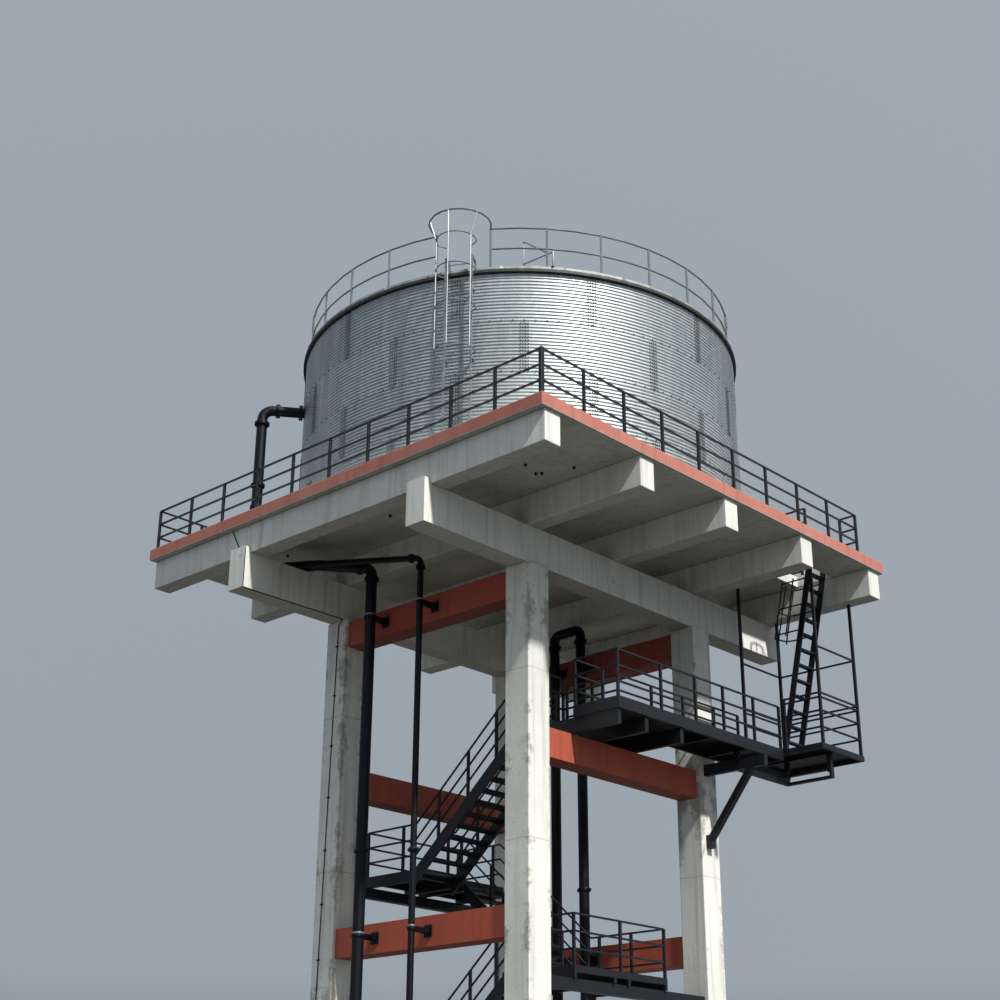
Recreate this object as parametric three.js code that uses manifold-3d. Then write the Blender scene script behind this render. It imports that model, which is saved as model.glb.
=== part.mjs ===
// Elevated water tank: a corrugated steel tank on a cast concrete stand, reached by a steel
// stair inside the stand, a hung landing and a ship ladder through a hatch in the deck.
// Millimetres, +Z up. The origin is on the ground, midway between the four columns.
// -Y is the front, +X the right side, where the walkway stands out.

import * as THREE from 'three';
import { mergeVertices } from 'three/addons/utils/BufferGeometryUtils.js';
import Module from 'manifold-3d';

const wasm = await Module();
wasm.setup();

// Small gap left where one piece rests on or passes close to another
const SEAT = 0.3;

// Concrete stand
const COLUMN_X = 2270;
const COLUMN_Y = 2310;
const COLUMN_SIDE = 520;
const COLUMN_INNER_X = COLUMN_X - COLUMN_SIDE / 2;
const COLUMN_INNER_Y = COLUMN_Y - COLUMN_SIDE / 2;
const TIE_LIFT = 2880;
const TIE_DEPTH = 500;
const TIE_WIDTH = 400;
const TOP_TIE_LEVEL = 11360;
const MIDDLE_TIE_LEVEL = 2 * TIE_LIFT;
const UPPER_TIE_LEVEL = 3 * TIE_LIFT;
const MAIN_BEAM_WIDTH = 420;
const MAIN_BEAM_BOTTOM = 11400;
const MAIN_BEAM_TOP = 12080;
const MAIN_BEAM_END_TOP = 12170;
const MAIN_BEAM_HALF_LENGTH = 5000;
const JOIST_WIDTH = 360;
const JOIST_CENTRES = [-4690, -2350, 0, 2350, 4690];
const JOIST_HALF_LENGTH = 4940;
const SLAB_BOTTOM = 12630;
const DECK_LEVEL = 12850;
const SLAB_HALF = 5000;
const HATCH_X = [3350, 4150];
const HATCH_Y = [3560, 4500];

// Tank
const TANK_RADIUS = 4280;
const TANK_WALL = 40;
const TANK_TOP = 16650;
const TANK_FLOOR = 20;
const TANK_SEGMENTS = 4;
const ARC_STEPS = 12;
const TANK_SIDES = TANK_SEGMENTS * ARC_STEPS;
const TOP_ANGLE = [16510, 16580];
const TOP_ANGLE_REACH = 55;
const FOOT_ANGLE_HEIGHT = 12;
const FOOT_ANGLE_REACH = 70;
const ROOF_EDGE_RADIUS = 4330;
const ROOF_EDGE_TOP = 16720;
const ROOF_EDGE_WIDTH = 190;
const ROOF_RISE = 370;
const ROOF_PLATE = 60;
const MANHOLE_FROM_AXIS = 3450;
const MANHOLE_RADIUS = 330;
const MANHOLE_RISE = 250;
const MANHOLE_LID = 35;

// Railing, ladder and cage of the tank
const TANK_RAIL_RADIUS = 4200;
const TANK_RAIL_TOP = 17600;
const TANK_RAIL_POSTS = 26;
const TANK_RAIL_POST_RADIUS = 22;
const TANK_RAIL_BAR = 17;
const LADDER_ANGLE = -61.8;
const LADDER_FROM_AXIS = 4450;
const LADDER_WIDTH = 480;
const LADDER_TOP = 16900;
const LADDER_HOOK = 4230;
const LADDER_RUNG_STEP = 300;
const LADDER_BRACKETS = [13350, 14900, 16300];
const STILE = [30, 50];
const CAGE_CENTRE = 4620;
const CAGE_RADIUS = 360;
const CAGE_REACH = 100;
const CAGE_HOOPS = [14900, 15750, 16500, 17120];
const CAGE_BOW_CENTRE = 4410;
const CAGE_BOW_RADIUS = 560;
const CAGE_BOW_REACH = 115.5;
const CAGE_BOW_SPREAD = 0.8;
const CAGE_BARS = [-75, -8, 60];
const CAGE_BAR = 11;

// Stair: floor levels, ends of the landings, and the two lanes of flights
const RISER = 175;
const GOING = 200;
const LOW_LEVEL = 17 * RISER;
const MIDDLE_LEVEL = 28 * RISER;
const HIGH_LEVEL = 39 * RISER;
const WALKWAY_LEVEL = 52 * RISER;
const STAIR_FOOT = 2150;
const LEFT_EDGE = -1250;
const MIDDLE_EDGE = 950;
const WALKWAY_EDGE = 1350;
const FLIGHT_POSTS_1 = [-600, 100, 800, 1500, 2000];
const FLIGHT_POSTS_2 = [-500, 200, 800];
const FLIGHT_POSTS_3 = [-600, 100, 800];
const FLIGHT_POSTS_4 = [-620, 90, 760];
const LOW_LANDING_END = -2070;
const HIGH_LANDING_END = -2450;
const MIDDLE_LANDING_END = 2500;
const FRONT_LANE = [-1460, -410];
const BACK_LANE = [-110, 940];
const STRINGER = 50;
const STRINGER_DROP = 60;
const STRINGER_DEPTH = 270;
const NOSING_SETBACK = 70;
const TREAD_LAP = 10;
const TREAD_THICK = 40;
const LANDING_DEPTH = 200;
const LANDING_END_DEPTH = 110;
const CHANNEL = 60;
const DECK_PLATE = 10;
const LANDING_BEAM_DEPTH = 180;
const LANDING_BEAM_WIDTH = 150;
const LANDING_BEAM_INSET = 50;

// Railings
const RAIL_HEIGHTS = [805, 530, 255];
const RAIL_THICK = 30;
const POST = 44;
const RAIL_INSET = 30;
const STRINGER_RAIL_INSET = 25;
const HIGH_POST_X = -1500;
const MIDDLE_POST_X = 1700;
const FLIGHT_2_FIRST_POST = -1150;
const NEWEL_X = -1360;
const MIDDLE_NEWEL_X = 1060;
const INNER_RAIL_END = 1300;
const DECK_RAIL_AT = 4900;
const DECK_RAIL_BAYS = 10;
const DECK_RAIL_BACK_BAYS = 8;
const DECK_RAIL_RIGHT_BAYS = 9;
const DECK_RAIL_RIGHT_END = 4240;
const DECK_RAIL_RETURN = 4560;
const HATCH_GUARD_X = [3240, 4370];
const HATCH_GUARD_Y = 3300;

// Walkway at the top of the stair: an inner deck, a bridge over the tie and a strip outside it
const INNER_DECK_X = [1350, 1700];
const STRIP_X = [2540, 3520];
const STRIP_Y = [-1460, 3340];
const STRIP_JOISTS_Y = [1200, 2250];
const BRIDGE_X = [INNER_DECK_X[1] - DECK_PLATE, STRIP_X[0] + DECK_PLATE];
const BRIDGE_Y = [-730, 350];
const BEARERS_Y = [-1400, -680, 290];
const BEARER_X = [1450, 3480];
const BEARER = 90;
const DECK_SLIT = [[2015, 2045], [-100, 230]];
const BRIDGE_RAIL_Y = -700;
const BRIDGE_RAIL_END = 2515;
const TURN_RAIL_Y = -280;
const TURN_RAIL_START = 1400;
const OUTER_POSTS_Y = [-270, 710, 1540, 2480];
const INNER_POSTS_Y = [660, 1590, 2540];

// Hung landing behind the walkway, with its brackets on the column, and the ship ladder
const PLATFORM_X = [2600, 4360];
const PLATFORM_Y = [3340, 4780];
const PLATFORM_DEPTH = 100;
const HANGER_X = [2670, 4330];
const HANGER_Y = [3420, 4720];
const HANGER = 50;
const HANGER_TIE_LEVEL = 10950;
const GUARD_RAILS = [10055, 9970, 9720, 9410];
const GUARD_START_X = 3545;
const UNDERFRAME = [8560, 8760];
const UNDERFRAME_CHORD = 45;
const UNDERBEAM = 100;
const STUB = 80;
const BRACKET_Y = 2250;
const BRACKET_END = 3850;
const UNDERBEAM_X = [3240, 4160];
const CROSSBEAM_Y = 3870;
const BRACE = 110;
const BRACE_FOOT = [2580, BRACKET_Y, 7380];
const BRACE_HEAD = [3560, BRACKET_Y, 8600];
const GUSSET = [[2530, 2640], [2180, 2320], [7250, 7480]];
const SHIP_LADDER_Y = [3850, 4350];
const SHIP_LADDER_X = 3213;
const SHIP_LADDER_LEAN = 0.23;
const SHIP_STILE = [30, 120];
const SHIP_TREAD_STEP = 290;
const SHIP_TREADS = 12;
const LUG_LEVEL = 12740;
const LUG = 60;
const SHIP_CAGE_HOOPS = [11500, 12000, 12500];
const SHIP_CAGE_DEPTH = 610;
const SHIP_CAGE_CORNER = 180;
const SHIP_CAGE_BAR = 15;
const SHIP_CAGE_OVERHANG = 60;

// Pipes
const MAIN_PIPE = 100;
const BRANCH_PIPE = 55;
const LOOP_PIPE = 97;
const PIPE_FLATS = 10;
const BEND = 200;
const BRANCH_BEND = 150;
const DROP_X = -3000;
const DROP_Y = -4090;
const OUTLET_LEVEL = 15500;
const OUTLET_ANGLE = -126;
const OUTLET_COLLARS = [15150, 13900, 13450];
const FLANGE_RADIUS = 160;
const FLANGE_THICK = 30;
const RISER_Y = -2900;
const MAIN_RISER_X = -1000;
const BRANCH_RISER_X = 270;
const HEADER_LEVEL = 12190;
const HEADER_LOW = 12050;
const HEADER_KINK = [-1900, -3430];
const BRANCH_LEVEL = 12140;
const BRANCH_LOW = 11930;
const BRANCH_KINK = [-2000, -3720];
const LOOP_Y = 1850;
const LOOP_X = [-720, -50];
const LOOP_TOP = 11850;
const COLLAR_LIP = 22;
const COLLAR_HEIGHT = 70;
const MAIN_COLLAR_LEVEL = 6910;
const BRANCH_COLLAR_LEVEL = 6780;
const LOOP_COLLAR_LEVEL = 6760;
const CLAMP_LIP = 12;
const CLAMP_BLOCK = 90;
const TIE_CLAMP_LEVELS = [MIDDLE_TIE_LEVEL - TIE_DEPTH / 2, TOP_TIE_LEVEL - TIE_DEPTH / 2];
const TIE_FRONT_FACE = -COLUMN_Y - TIE_WIDTH / 2;
const TIE_BACK_INNER_FACE = COLUMN_Y - TIE_WIDTH / 2;

const CONCRETE = { color: 0xd9d8d0, roughness: 0.92, metalness: 0 };
const RED_PAINT = { color: 0xc4654a, roughness: 0.75, metalness: 0 };
const ZINC = { color: 0x9aa3a6, roughness: 0.42, metalness: 0.85 };
const PALE_ZINC = { color: 0xb4bcc0, roughness: 0.5, metalness: 0.7 };
const BLACK_STEEL = { color: 0x14181f, roughness: 0.5, metalness: 0.3 };
const BLACK_PIPE = { color: 0x0d1016, roughness: 0.42, metalness: 0.2 };

const root = new THREE.Group();

// A closed geometry with its shared corners merged and its empty triangles dropped
function closed(geometry) {
  geometry.deleteAttribute('normal');
  geometry.deleteAttribute('uv');
  const merged = mergeVertices(geometry, 1e-3);
  const corners = Array.from(merged.index.array);
  const kept = [];
  for (let i = 0; i < corners.length; i += 3) {
    const [a, b, c] = corners.slice(i, i + 3);
    if (a !== b && b !== c && c !== a) {
      kept.push(a, b, c);
    }
  }
  merged.setIndex(kept);
  return merged;
}

function toSolid(geometry) {
  return new wasm.Manifold(new wasm.Mesh({
    numProp: 3,
    vertProperties: new Float32Array(geometry.attributes.position.array),
    triVerts: new Uint32Array(geometry.index.array),
  }));
}

function toGeometry(solid) {
  const mesh = solid.getMesh();
  const geometry = new THREE.BufferGeometry();
  geometry.setAttribute('position', new THREE.BufferAttribute(mesh.vertProperties, 3));
  geometry.setIndex(new THREE.BufferAttribute(mesh.triVerts, 1));
  geometry.computeVertexNormals();
  return geometry;
}

function join(solids) {
  return solids.reduce((whole, next) => whole.add(next));
}

function piece(name, solid, finish) {
  const mesh = new THREE.Mesh(toGeometry(solid), new THREE.MeshStandardMaterial(finish));
  mesh.name = name;
  root.add(mesh);
}

// Range of a given width about a centre
function about(centre, width) {
  return [centre - width / 2, centre + width / 2];
}

// Positions that divide a length into equal bays, both ends included
function spaced([from, to], bays) {
  return Array.from({ length: bays + 1 }, (_, k) => from + ((to - from) * k) / bays);
}

// Box given by its range along each axis
function box([x0, x1], [y0, y1], [z0, z1]) {
  const geometry = new THREE.BoxGeometry(x1 - x0, y1 - y0, z1 - z0);
  geometry.translate((x0 + x1) / 2, (y0 + y1) / 2, (z0 + z1) / 2);
  return toSolid(closed(geometry));
}

// Straight bar of rectangular section; an upright one has its width across the tank's radius
function bar(from, to, width, depth) {
  const start = new THREE.Vector3(...from);
  const end = new THREE.Vector3(...to);
  const z = end.clone().sub(start);
  const length = z.length();
  z.normalize();
  const upright = Math.abs(z.z) > 0.999;
  const side = upright ? new THREE.Vector3(start.x, start.y, 0) : new THREE.Vector3(0, 0, 1);
  const x = side.cross(z).normalize();
  const y = z.clone().cross(x);
  const geometry = closed(new THREE.BoxGeometry(width, depth, length));
  const middle = start.add(end).multiplyScalar(0.5);
  geometry.applyMatrix4(new THREE.Matrix4().makeBasis(x, y, z).setPosition(middle));
  return toSolid(geometry);
}

// Round rod with a few flats from one point to another
function rod(from, to, radius, sides = 8) {
  const start = new THREE.Vector3(...from);
  const end = new THREE.Vector3(...to);
  const along = end.clone().sub(start);
  const geometry = closed(new THREE.CylinderGeometry(radius, radius, along.length(), sides));
  const up = new THREE.Vector3(0, 1, 0);
  geometry.applyQuaternion(new THREE.Quaternion().setFromUnitVectors(up, along.normalize()));
  geometry.translate(...start.add(end).multiplyScalar(0.5).toArray());
  return toSolid(geometry);
}

// A path that passes exactly through the given points
class Route extends THREE.Curve {
  constructor(points) {
    super();
    this.points = points.map((point) => new THREE.Vector3(...point));
  }

  getPoint(t, target = new THREE.Vector3()) {
    const place = t * (this.points.length - 1);
    const index = Math.min(Math.floor(place + 1e-9), this.points.length - 2);
    return target.lerpVectors(this.points[index], this.points[index + 1], place - index);
  }

  getPointAt(u, target) {
    return this.getPoint(u, target);
  }

  getTangentAt(u, target = new THREE.Vector3()) {
    const last = this.points.length - 1;
    const index = Math.round(u * last);
    const before = this.points[Math.max(index - 1, 0)];
    const after = this.points[Math.min(index + 1, last)];
    return target.subVectors(after, before).normalize();
  }
}

// Points of a route with each of its corners turned at a radius
function rounded(points, radius, steps = 4) {
  const route = [points[0]];
  for (let i = 1; i < points.length - 1; i += 1) {
    const corner = new THREE.Vector3(...points[i]);
    const back = new THREE.Vector3(...points[i - 1]).sub(corner).normalize();
    const ahead = new THREE.Vector3(...points[i + 1]).sub(corner).normalize();
    const half = back.angleTo(ahead) / 2;
    const middle = back.clone().add(ahead).normalize();
    const centre = corner.clone().addScaledVector(middle, radius / Math.sin(half));
    const first = corner.clone().addScaledVector(back, radius / Math.tan(half)).sub(centre);
    const last = corner.clone().addScaledVector(ahead, radius / Math.tan(half)).sub(centre);
    const sweep = first.angleTo(last);
    for (let k = 0; k <= steps; k += 1) {
      const a = Math.sin(sweep * (1 - k / steps)) / Math.sin(sweep);
      const b = Math.sin(sweep * (k / steps)) / Math.sin(sweep);
      route.push(centre.clone().addScaledVector(first, a).addScaledVector(last, b).toArray());
    }
  }
  route.push(points[points.length - 1]);
  return route;
}

// Round tube of a few flats along a route
function tube(points, radius, sides = 8) {
  const section = new THREE.Shape();
  for (let i = 0; i < sides; i += 1) {
    const angle = (2 * Math.PI * (i + 0.5)) / sides;
    const corner = [radius * Math.cos(angle), radius * Math.sin(angle)];
    if (i === 0) {
      section.moveTo(...corner);
    } else {
      section.lineTo(...corner);
    }
  }
  section.closePath();
  const geometry = new THREE.ExtrudeGeometry(section, {
    steps: points.length - 1,
    extrudePath: new Route(points),
    curveSegments: 1,
  });
  return toSolid(closed(geometry));
}

// Upright prism over an outline of [x, y] points
function prism(outline, [z0, z1]) {
  const shape = new THREE.Shape(outline.map(([x, y]) => new THREE.Vector2(x, y)));
  const geometry = new THREE.ExtrudeGeometry(shape, { depth: z1 - z0, bevelEnabled: false });
  geometry.translate(0, 0, z0);
  return toSolid(closed(geometry));
}

// Plate standing in an upright plane: its outline runs along X, or along Y when turned
function uprightPlate(outline, [near, far], turned = false) {
  const shape = new THREE.Shape(outline.map(([u, z]) => new THREE.Vector2(u, z)));
  const geometry = new THREE.ExtrudeGeometry(shape, { depth: far - near, bevelEnabled: false });
  geometry.rotateX(Math.PI / 2);
  if (turned) {
    geometry.rotateZ(Math.PI / 2);
    geometry.translate(near, 0, 0);
  } else {
    geometry.translate(0, far, 0);
  }
  return toSolid(closed(geometry));
}

function polar(radius, degrees, z) {
  const angle = THREE.MathUtils.degToRad(degrees);
  return [radius * Math.cos(angle), radius * Math.sin(angle), z];
}

// Part of a ring between two angles
function ringSegment(inner, outer, span, height) {
  const angles = spaced(span, ARC_STEPS);
  const outside = angles.map((angle) => polar(outer, angle, 0));
  const inside = angles.map((angle) => polar(inner, angle, 0)).reverse();
  return prism([...outside, ...inside], height);
}

// Disc with the same flats as the tank wall
function drum(radius, height) {
  const angles = spaced([0, 360], TANK_SIDES).slice(1);
  return prism(angles.map((angle) => polar(radius, angle, 0)), height);
}

// Four columns, cast in place, from the ground to the main beams
function columns() {
  for (const [side, x] of [['left', -COLUMN_X], ['right', COLUMN_X]]) {
    for (const [face, y] of [['front', -COLUMN_Y], ['back', COLUMN_Y]]) {
      const column = box(about(x, COLUMN_SIDE), about(y, COLUMN_SIDE), [0, MAIN_BEAM_BOTTOM]);
      piece(`column_${face}_${side}`, column, CONCRETE);
    }
  }
}

// Painted tie beams: on the sides at odd lifts, on the front and back at even ones
function ties() {
  for (const [name, top] of [['middle', MIDDLE_TIE_LEVEL], ['top', TOP_TIE_LEVEL]]) {
    for (const [face, y] of [['front', -COLUMN_Y], ['back', COLUMN_Y]]) {
      const tie = box([-COLUMN_INNER_X, COLUMN_INNER_X], about(y, TIE_WIDTH), [top - TIE_DEPTH, top]);
      piece(`tie_${name}_${face}`, tie, RED_PAINT);
    }
  }
  for (const [name, top] of [['lower', TIE_LIFT], ['upper', UPPER_TIE_LEVEL]]) {
    for (const [side, x] of [['left', -COLUMN_X], ['right', COLUMN_X]]) {
      const tie = box(about(x, TIE_WIDTH), [-COLUMN_INNER_Y, COLUMN_INNER_Y], [top - TIE_DEPTH, top]);
      piece(`tie_${name}_${side}`, tie, RED_PAINT);
    }
  }
}

// Two main beams along Y, each with a low upstand at its ends that grips the outer joist
function mainBeams() {
  const joistFace = JOIST_CENTRES[4] + JOIST_WIDTH / 2;
  for (const [side, x] of [['left', -COLUMN_X], ['right', COLUMN_X]]) {
    const width = about(x, MAIN_BEAM_WIDTH);
    const beam = join([
      box(width, [-MAIN_BEAM_HALF_LENGTH, MAIN_BEAM_HALF_LENGTH], [MAIN_BEAM_BOTTOM, MAIN_BEAM_TOP]),
      box(width, [-MAIN_BEAM_HALF_LENGTH, -joistFace], [MAIN_BEAM_BOTTOM, MAIN_BEAM_END_TOP]),
      box(width, [joistFace, MAIN_BEAM_HALF_LENGTH], [MAIN_BEAM_BOTTOM, MAIN_BEAM_END_TOP]),
    ]);
    piece(`main_beam_${side}`, beam, CONCRETE);
  }
}

function joists() {
  JOIST_CENTRES.forEach((y, index) => {
    const length = [-JOIST_HALF_LENGTH, JOIST_HALF_LENGTH];
    const joist = box(length, about(y, JOIST_WIDTH), [MAIN_BEAM_TOP, SLAB_BOTTOM]);
    piece(`joist_${index + 1}`, joist, CONCRETE);
  });
}

// Deck slab with the ladder hatch cut through it
function deckSlab() {
  const side = [-SLAB_HALF, SLAB_HALF];
  const hatch = box(HATCH_X, HATCH_Y, [SLAB_BOTTOM - CHANNEL, DECK_LEVEL + CHANNEL]);
  piece('deck_slab', box(side, side, [SLAB_BOTTOM, DECK_LEVEL]).subtract(hatch), CONCRETE);
}

// Tank wall in curved segments, each with its part of the top angle and of the foot angle
function tankWall() {
  const gap = THREE.MathUtils.radToDeg(SEAT / TANK_RADIUS) / 2;
  const inner = TANK_RADIUS - TANK_WALL;
  const foot = [DECK_LEVEL, DECK_LEVEL + FOOT_ANGLE_HEIGHT];
  for (let k = 0; k < TANK_SEGMENTS; k += 1) {
    const span = [(k * 360) / TANK_SEGMENTS + gap, ((k + 1) * 360) / TANK_SEGMENTS - gap];
    const wall = join([
      ringSegment(inner, TANK_RADIUS, span, [DECK_LEVEL, TANK_TOP]),
      ringSegment(inner, TANK_RADIUS + TOP_ANGLE_REACH, span, TOP_ANGLE),
      ringSegment(inner, TANK_RADIUS + FOOT_ANGLE_REACH, span, foot),
    ]);
    piece(`tank_wall_${k + 1}`, wall, ZINC);
  }
}

// Floor plate under the liner, just inside the wall
function tankFloor() {
  const radius = TANK_RADIUS - TANK_WALL - 2 * SEAT;
  piece('tank_floor', drum(radius, [DECK_LEVEL, DECK_LEVEL + TANK_FLOOR]), ZINC);
}

// Low cone with a deep edge that rests on the wall, and the manhole inside the railing gap
function tankRoof() {
  const profile = [
    [0, TANK_TOP + ROOF_RISE],
    [TANK_RADIUS - 2 * TANK_WALL, TANK_TOP + SEAT],
    [ROOF_EDGE_RADIUS, TANK_TOP + SEAT],
    [ROOF_EDGE_RADIUS, ROOF_EDGE_TOP],
    [ROOF_EDGE_RADIUS - ROOF_EDGE_WIDTH, ROOF_EDGE_TOP],
    [0, TANK_TOP + ROOF_RISE + ROOF_PLATE],
  ];
  const points = profile.map(([r, z]) => new THREE.Vector2(r, z));
  const cone = closed(new THREE.LatheGeometry(points, TANK_SIDES));
  cone.rotateX(Math.PI / 2);
  const at = (z) => polar(MANHOLE_FROM_AXIS, LADDER_ANGLE, z);
  const rim = ROOF_EDGE_TOP + MANHOLE_RISE;
  const collar = rod(at(ROOF_EDGE_TOP), at(rim), MANHOLE_RADIUS, 16);
  const lid = rod(at(rim), at(rim + MANHOLE_LID), MANHOLE_RADIUS + MANHOLE_LID, 16);
  piece('tank_roof', join([toSolid(cone), collar, lid]), ZINC);
}

function tankRailPost(angle, radius) {
  const foot = polar(TANK_RAIL_RADIUS, angle, ROOF_EDGE_TOP + SEAT);
  return rod(foot, polar(TANK_RAIL_RADIUS, angle, TANK_RAIL_TOP), radius, 6);
}

// Railing round the roof edge in two halves, open at the ladder
function tankRail() {
  const pitch = 360 / TANK_RAIL_POSTS;
  const first = LADDER_ANGLE + pitch / 2;
  const half = TANK_RAIL_POSTS / 2;
  const postEdge = THREE.MathUtils.radToDeg((TANK_RAIL_POST_RADIUS + SEAT) / TANK_RAIL_RADIUS);
  const halves = [
    ['right', [first, first + half * pitch - postEdge]],
    ['left', [first + half * pitch, first + (2 * half - 1) * pitch]],
  ];
  for (const [name, span] of halves) {
    const solids = [];
    for (let k = 0; k < half; k += 1) {
      solids.push(tankRailPost(span[0] + k * pitch, TANK_RAIL_POST_RADIUS));
    }
    for (const height of [TANK_RAIL_TOP - TANK_RAIL_BAR, (ROOF_EDGE_TOP + TANK_RAIL_TOP) / 2]) {
      const line = spaced(span, 2 * half).map((angle) => polar(TANK_RAIL_RADIUS, angle, height));
      solids.push(tube(line, TANK_RAIL_BAR, 6));
    }
    piece(`tank_rail_${name}`, join(solids), PALE_ZINC);
  }
}

// A point in the tank ladder's own directions: out from the tank axis, and across to the right
function byLadder(radial, across, z) {
  const [x, y] = polar(radial, LADDER_ANGLE, z);
  const angle = THREE.MathUtils.degToRad(LADDER_ANGLE);
  return [x - across * Math.sin(angle), y + across * Math.cos(angle), z];
}

// Vertical ladder on the tank wall, with wall brackets and tops hooked on to the roof edge
function tankLadder() {
  const solids = [];
  for (const across of about(0, LADDER_WIDTH)) {
    const top = byLadder(LADDER_FROM_AXIS, across, LADDER_TOP);
    const hook = byLadder(LADDER_HOOK, across, LADDER_TOP);
    solids.push(bar(byLadder(LADDER_FROM_AXIS, across, DECK_LEVEL + SEAT), top, ...STILE));
    solids.push(bar(top, hook, ...STILE));
    solids.push(bar(byLadder(LADDER_HOOK, across, ROOF_EDGE_TOP + SEAT), hook, ...STILE));
    for (const z of LADDER_BRACKETS) {
      const ends = [LADDER_FROM_AXIS, LADDER_HOOK].map((radial) => byLadder(radial, across, z));
      solids.push(bar(...ends, ...STILE));
    }
  }
  const half = LADDER_WIDTH / 2;
  for (let z = DECK_LEVEL + LADDER_RUNG_STEP; z < LADDER_TOP; z += LADDER_RUNG_STEP) {
    const ends = [byLadder(LADDER_FROM_AXIS, -half, z), byLadder(LADDER_FROM_AXIS, half, z)];
    solids.push(rod(...ends, CAGE_BAR, 6));
  }
  const wall = drum(TANK_RADIUS + 2 * SEAT, [DECK_LEVEL, TOP_ANGLE[0]]);
  piece('tank_ladder', join(solids).subtract(wall), PALE_ZINC);
}

// Point on an arc of the cage: radial place and place across, for an angle from the outward line
function onCage(centre, radius, degrees) {
  const angle = THREE.MathUtils.degToRad(degrees);
  return [centre + radius * Math.cos(angle), radius * Math.sin(angle)];
}

function cageArc(centre, radius, reach, z) {
  const angles = spaced([-reach, reach], ARC_STEPS);
  return angles.map((degrees) => byLadder(...onCage(centre, radius, degrees), z));
}

// Cage round the tank ladder: hoops, upright bars and the bow that joins the roof railing
function tankLadderCage() {
  const stile = LADDER_WIDTH / 2;
  const solids = CAGE_HOOPS.map((z) => {
    const arc = cageArc(CAGE_CENTRE, CAGE_RADIUS, CAGE_REACH, z);
    const ends = [-stile, stile].map((across) => byLadder(LADDER_FROM_AXIS, across, z));
    return tube([ends[0], ...arc, ends[1]], CAGE_BAR, 6);
  });
  const bowLevel = TANK_RAIL_TOP - TANK_RAIL_BAR;
  const bow = cageArc(CAGE_BOW_CENTRE, CAGE_BOW_RADIUS, CAGE_BOW_REACH, bowLevel);
  solids.push(tube(bow, TANK_RAIL_BAR, 6));
  const [lowest, highest] = [CAGE_HOOPS[0], CAGE_HOOPS[CAGE_HOOPS.length - 1]];
  for (const degrees of CAGE_BARS) {
    const hoop = onCage(CAGE_CENTRE, CAGE_RADIUS, degrees);
    const head = onCage(CAGE_BOW_CENTRE, CAGE_BOW_RADIUS, degrees * CAGE_BOW_SPREAD);
    const upright = [byLadder(...hoop, lowest - CAGE_BAR), byLadder(...hoop, highest)];
    solids.push(tube([...upright, byLadder(...head, bowLevel)], CAGE_BAR, 6));
  }
  const pitch = 360 / TANK_RAIL_POSTS;
  const clearance = TANK_RAIL_POST_RADIUS + 2 * SEAT;
  const railing = [-pitch / 2, pitch / 2].flatMap((offset) => {
    const ends = [offset, 2 * offset].map((angle) => (
      polar(TANK_RAIL_RADIUS, LADDER_ANGLE + angle, bowLevel)
    ));
    const post = tankRailPost(LADDER_ANGLE + offset, clearance);
    return [post, tube(ends, TANK_RAIL_BAR + 3 * SEAT, PIPE_FLATS)];
  });
  const stiles = [-stile, stile].map((across) => {
    const ends = [DECK_LEVEL, LADDER_TOP].map((z) => byLadder(LADDER_FROM_AXIS, across, z));
    return bar(...ends, STILE[0] + 2 * SEAT, STILE[1] + 2 * SEAT);
  });
  const cage = join(solids).subtract(join([...railing, ...stiles]));
  piece('tank_ladder_cage', cage, PALE_ZINC);
}

// Height at u of a broken line of [u, z] points
function heightAt(line, u) {
  let index = 1;
  while (index < line.length - 1 && u > line[index][0]) {
    index += 1;
  }
  const [u0, z0] = line[index - 1];
  const [u1, z1] = line[index];
  return z0 + ((z1 - z0) * (u - u0)) / (u1 - u0);
}

// Railing in an upright plane, over a base line of [u, z] points in rising u, with posts at given u
function railing(line, posts, at, turned = false) {
  const solids = posts.map((u) => {
    const [a, b] = about(u, POST);
    const top = heightAt(line, u) + RAIL_HEIGHTS[0];
    const outline = [[a, heightAt(line, a) + SEAT], [b, heightAt(line, b) + SEAT], [b, top], [a, top]];
    return uprightPlate(outline, about(at, POST), turned);
  });
  for (const height of RAIL_HEIGHTS) {
    const lower = line.map(([u, z]) => [u, z + height - RAIL_THICK / 2]);
    const upper = line.map(([u, z]) => [u, z + height + RAIL_THICK / 2]).reverse();
    solids.push(uprightPlate([...lower, ...upper], about(at, RAIL_THICK), turned));
  }
  return join(solids);
}

// Railing over a level floor, with posts in equal bays from end to end
function levelRailing(ends, bays, level, at, turned = false) {
  return railing(ends.map((u) => [u, level]), spaced(ends, bays), at, turned);
}

// Railing over the deck that starts against the corner post of the railing before it
function deckRail(end, bays, at, turned) {
  const posts = spaced([-DECK_RAIL_AT, end], bays).slice(1);
  const start = POST / 2 + SEAT - DECK_RAIL_AT;
  return railing([[start, DECK_LEVEL], [end, DECK_LEVEL]], posts, at, turned);
}

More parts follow.
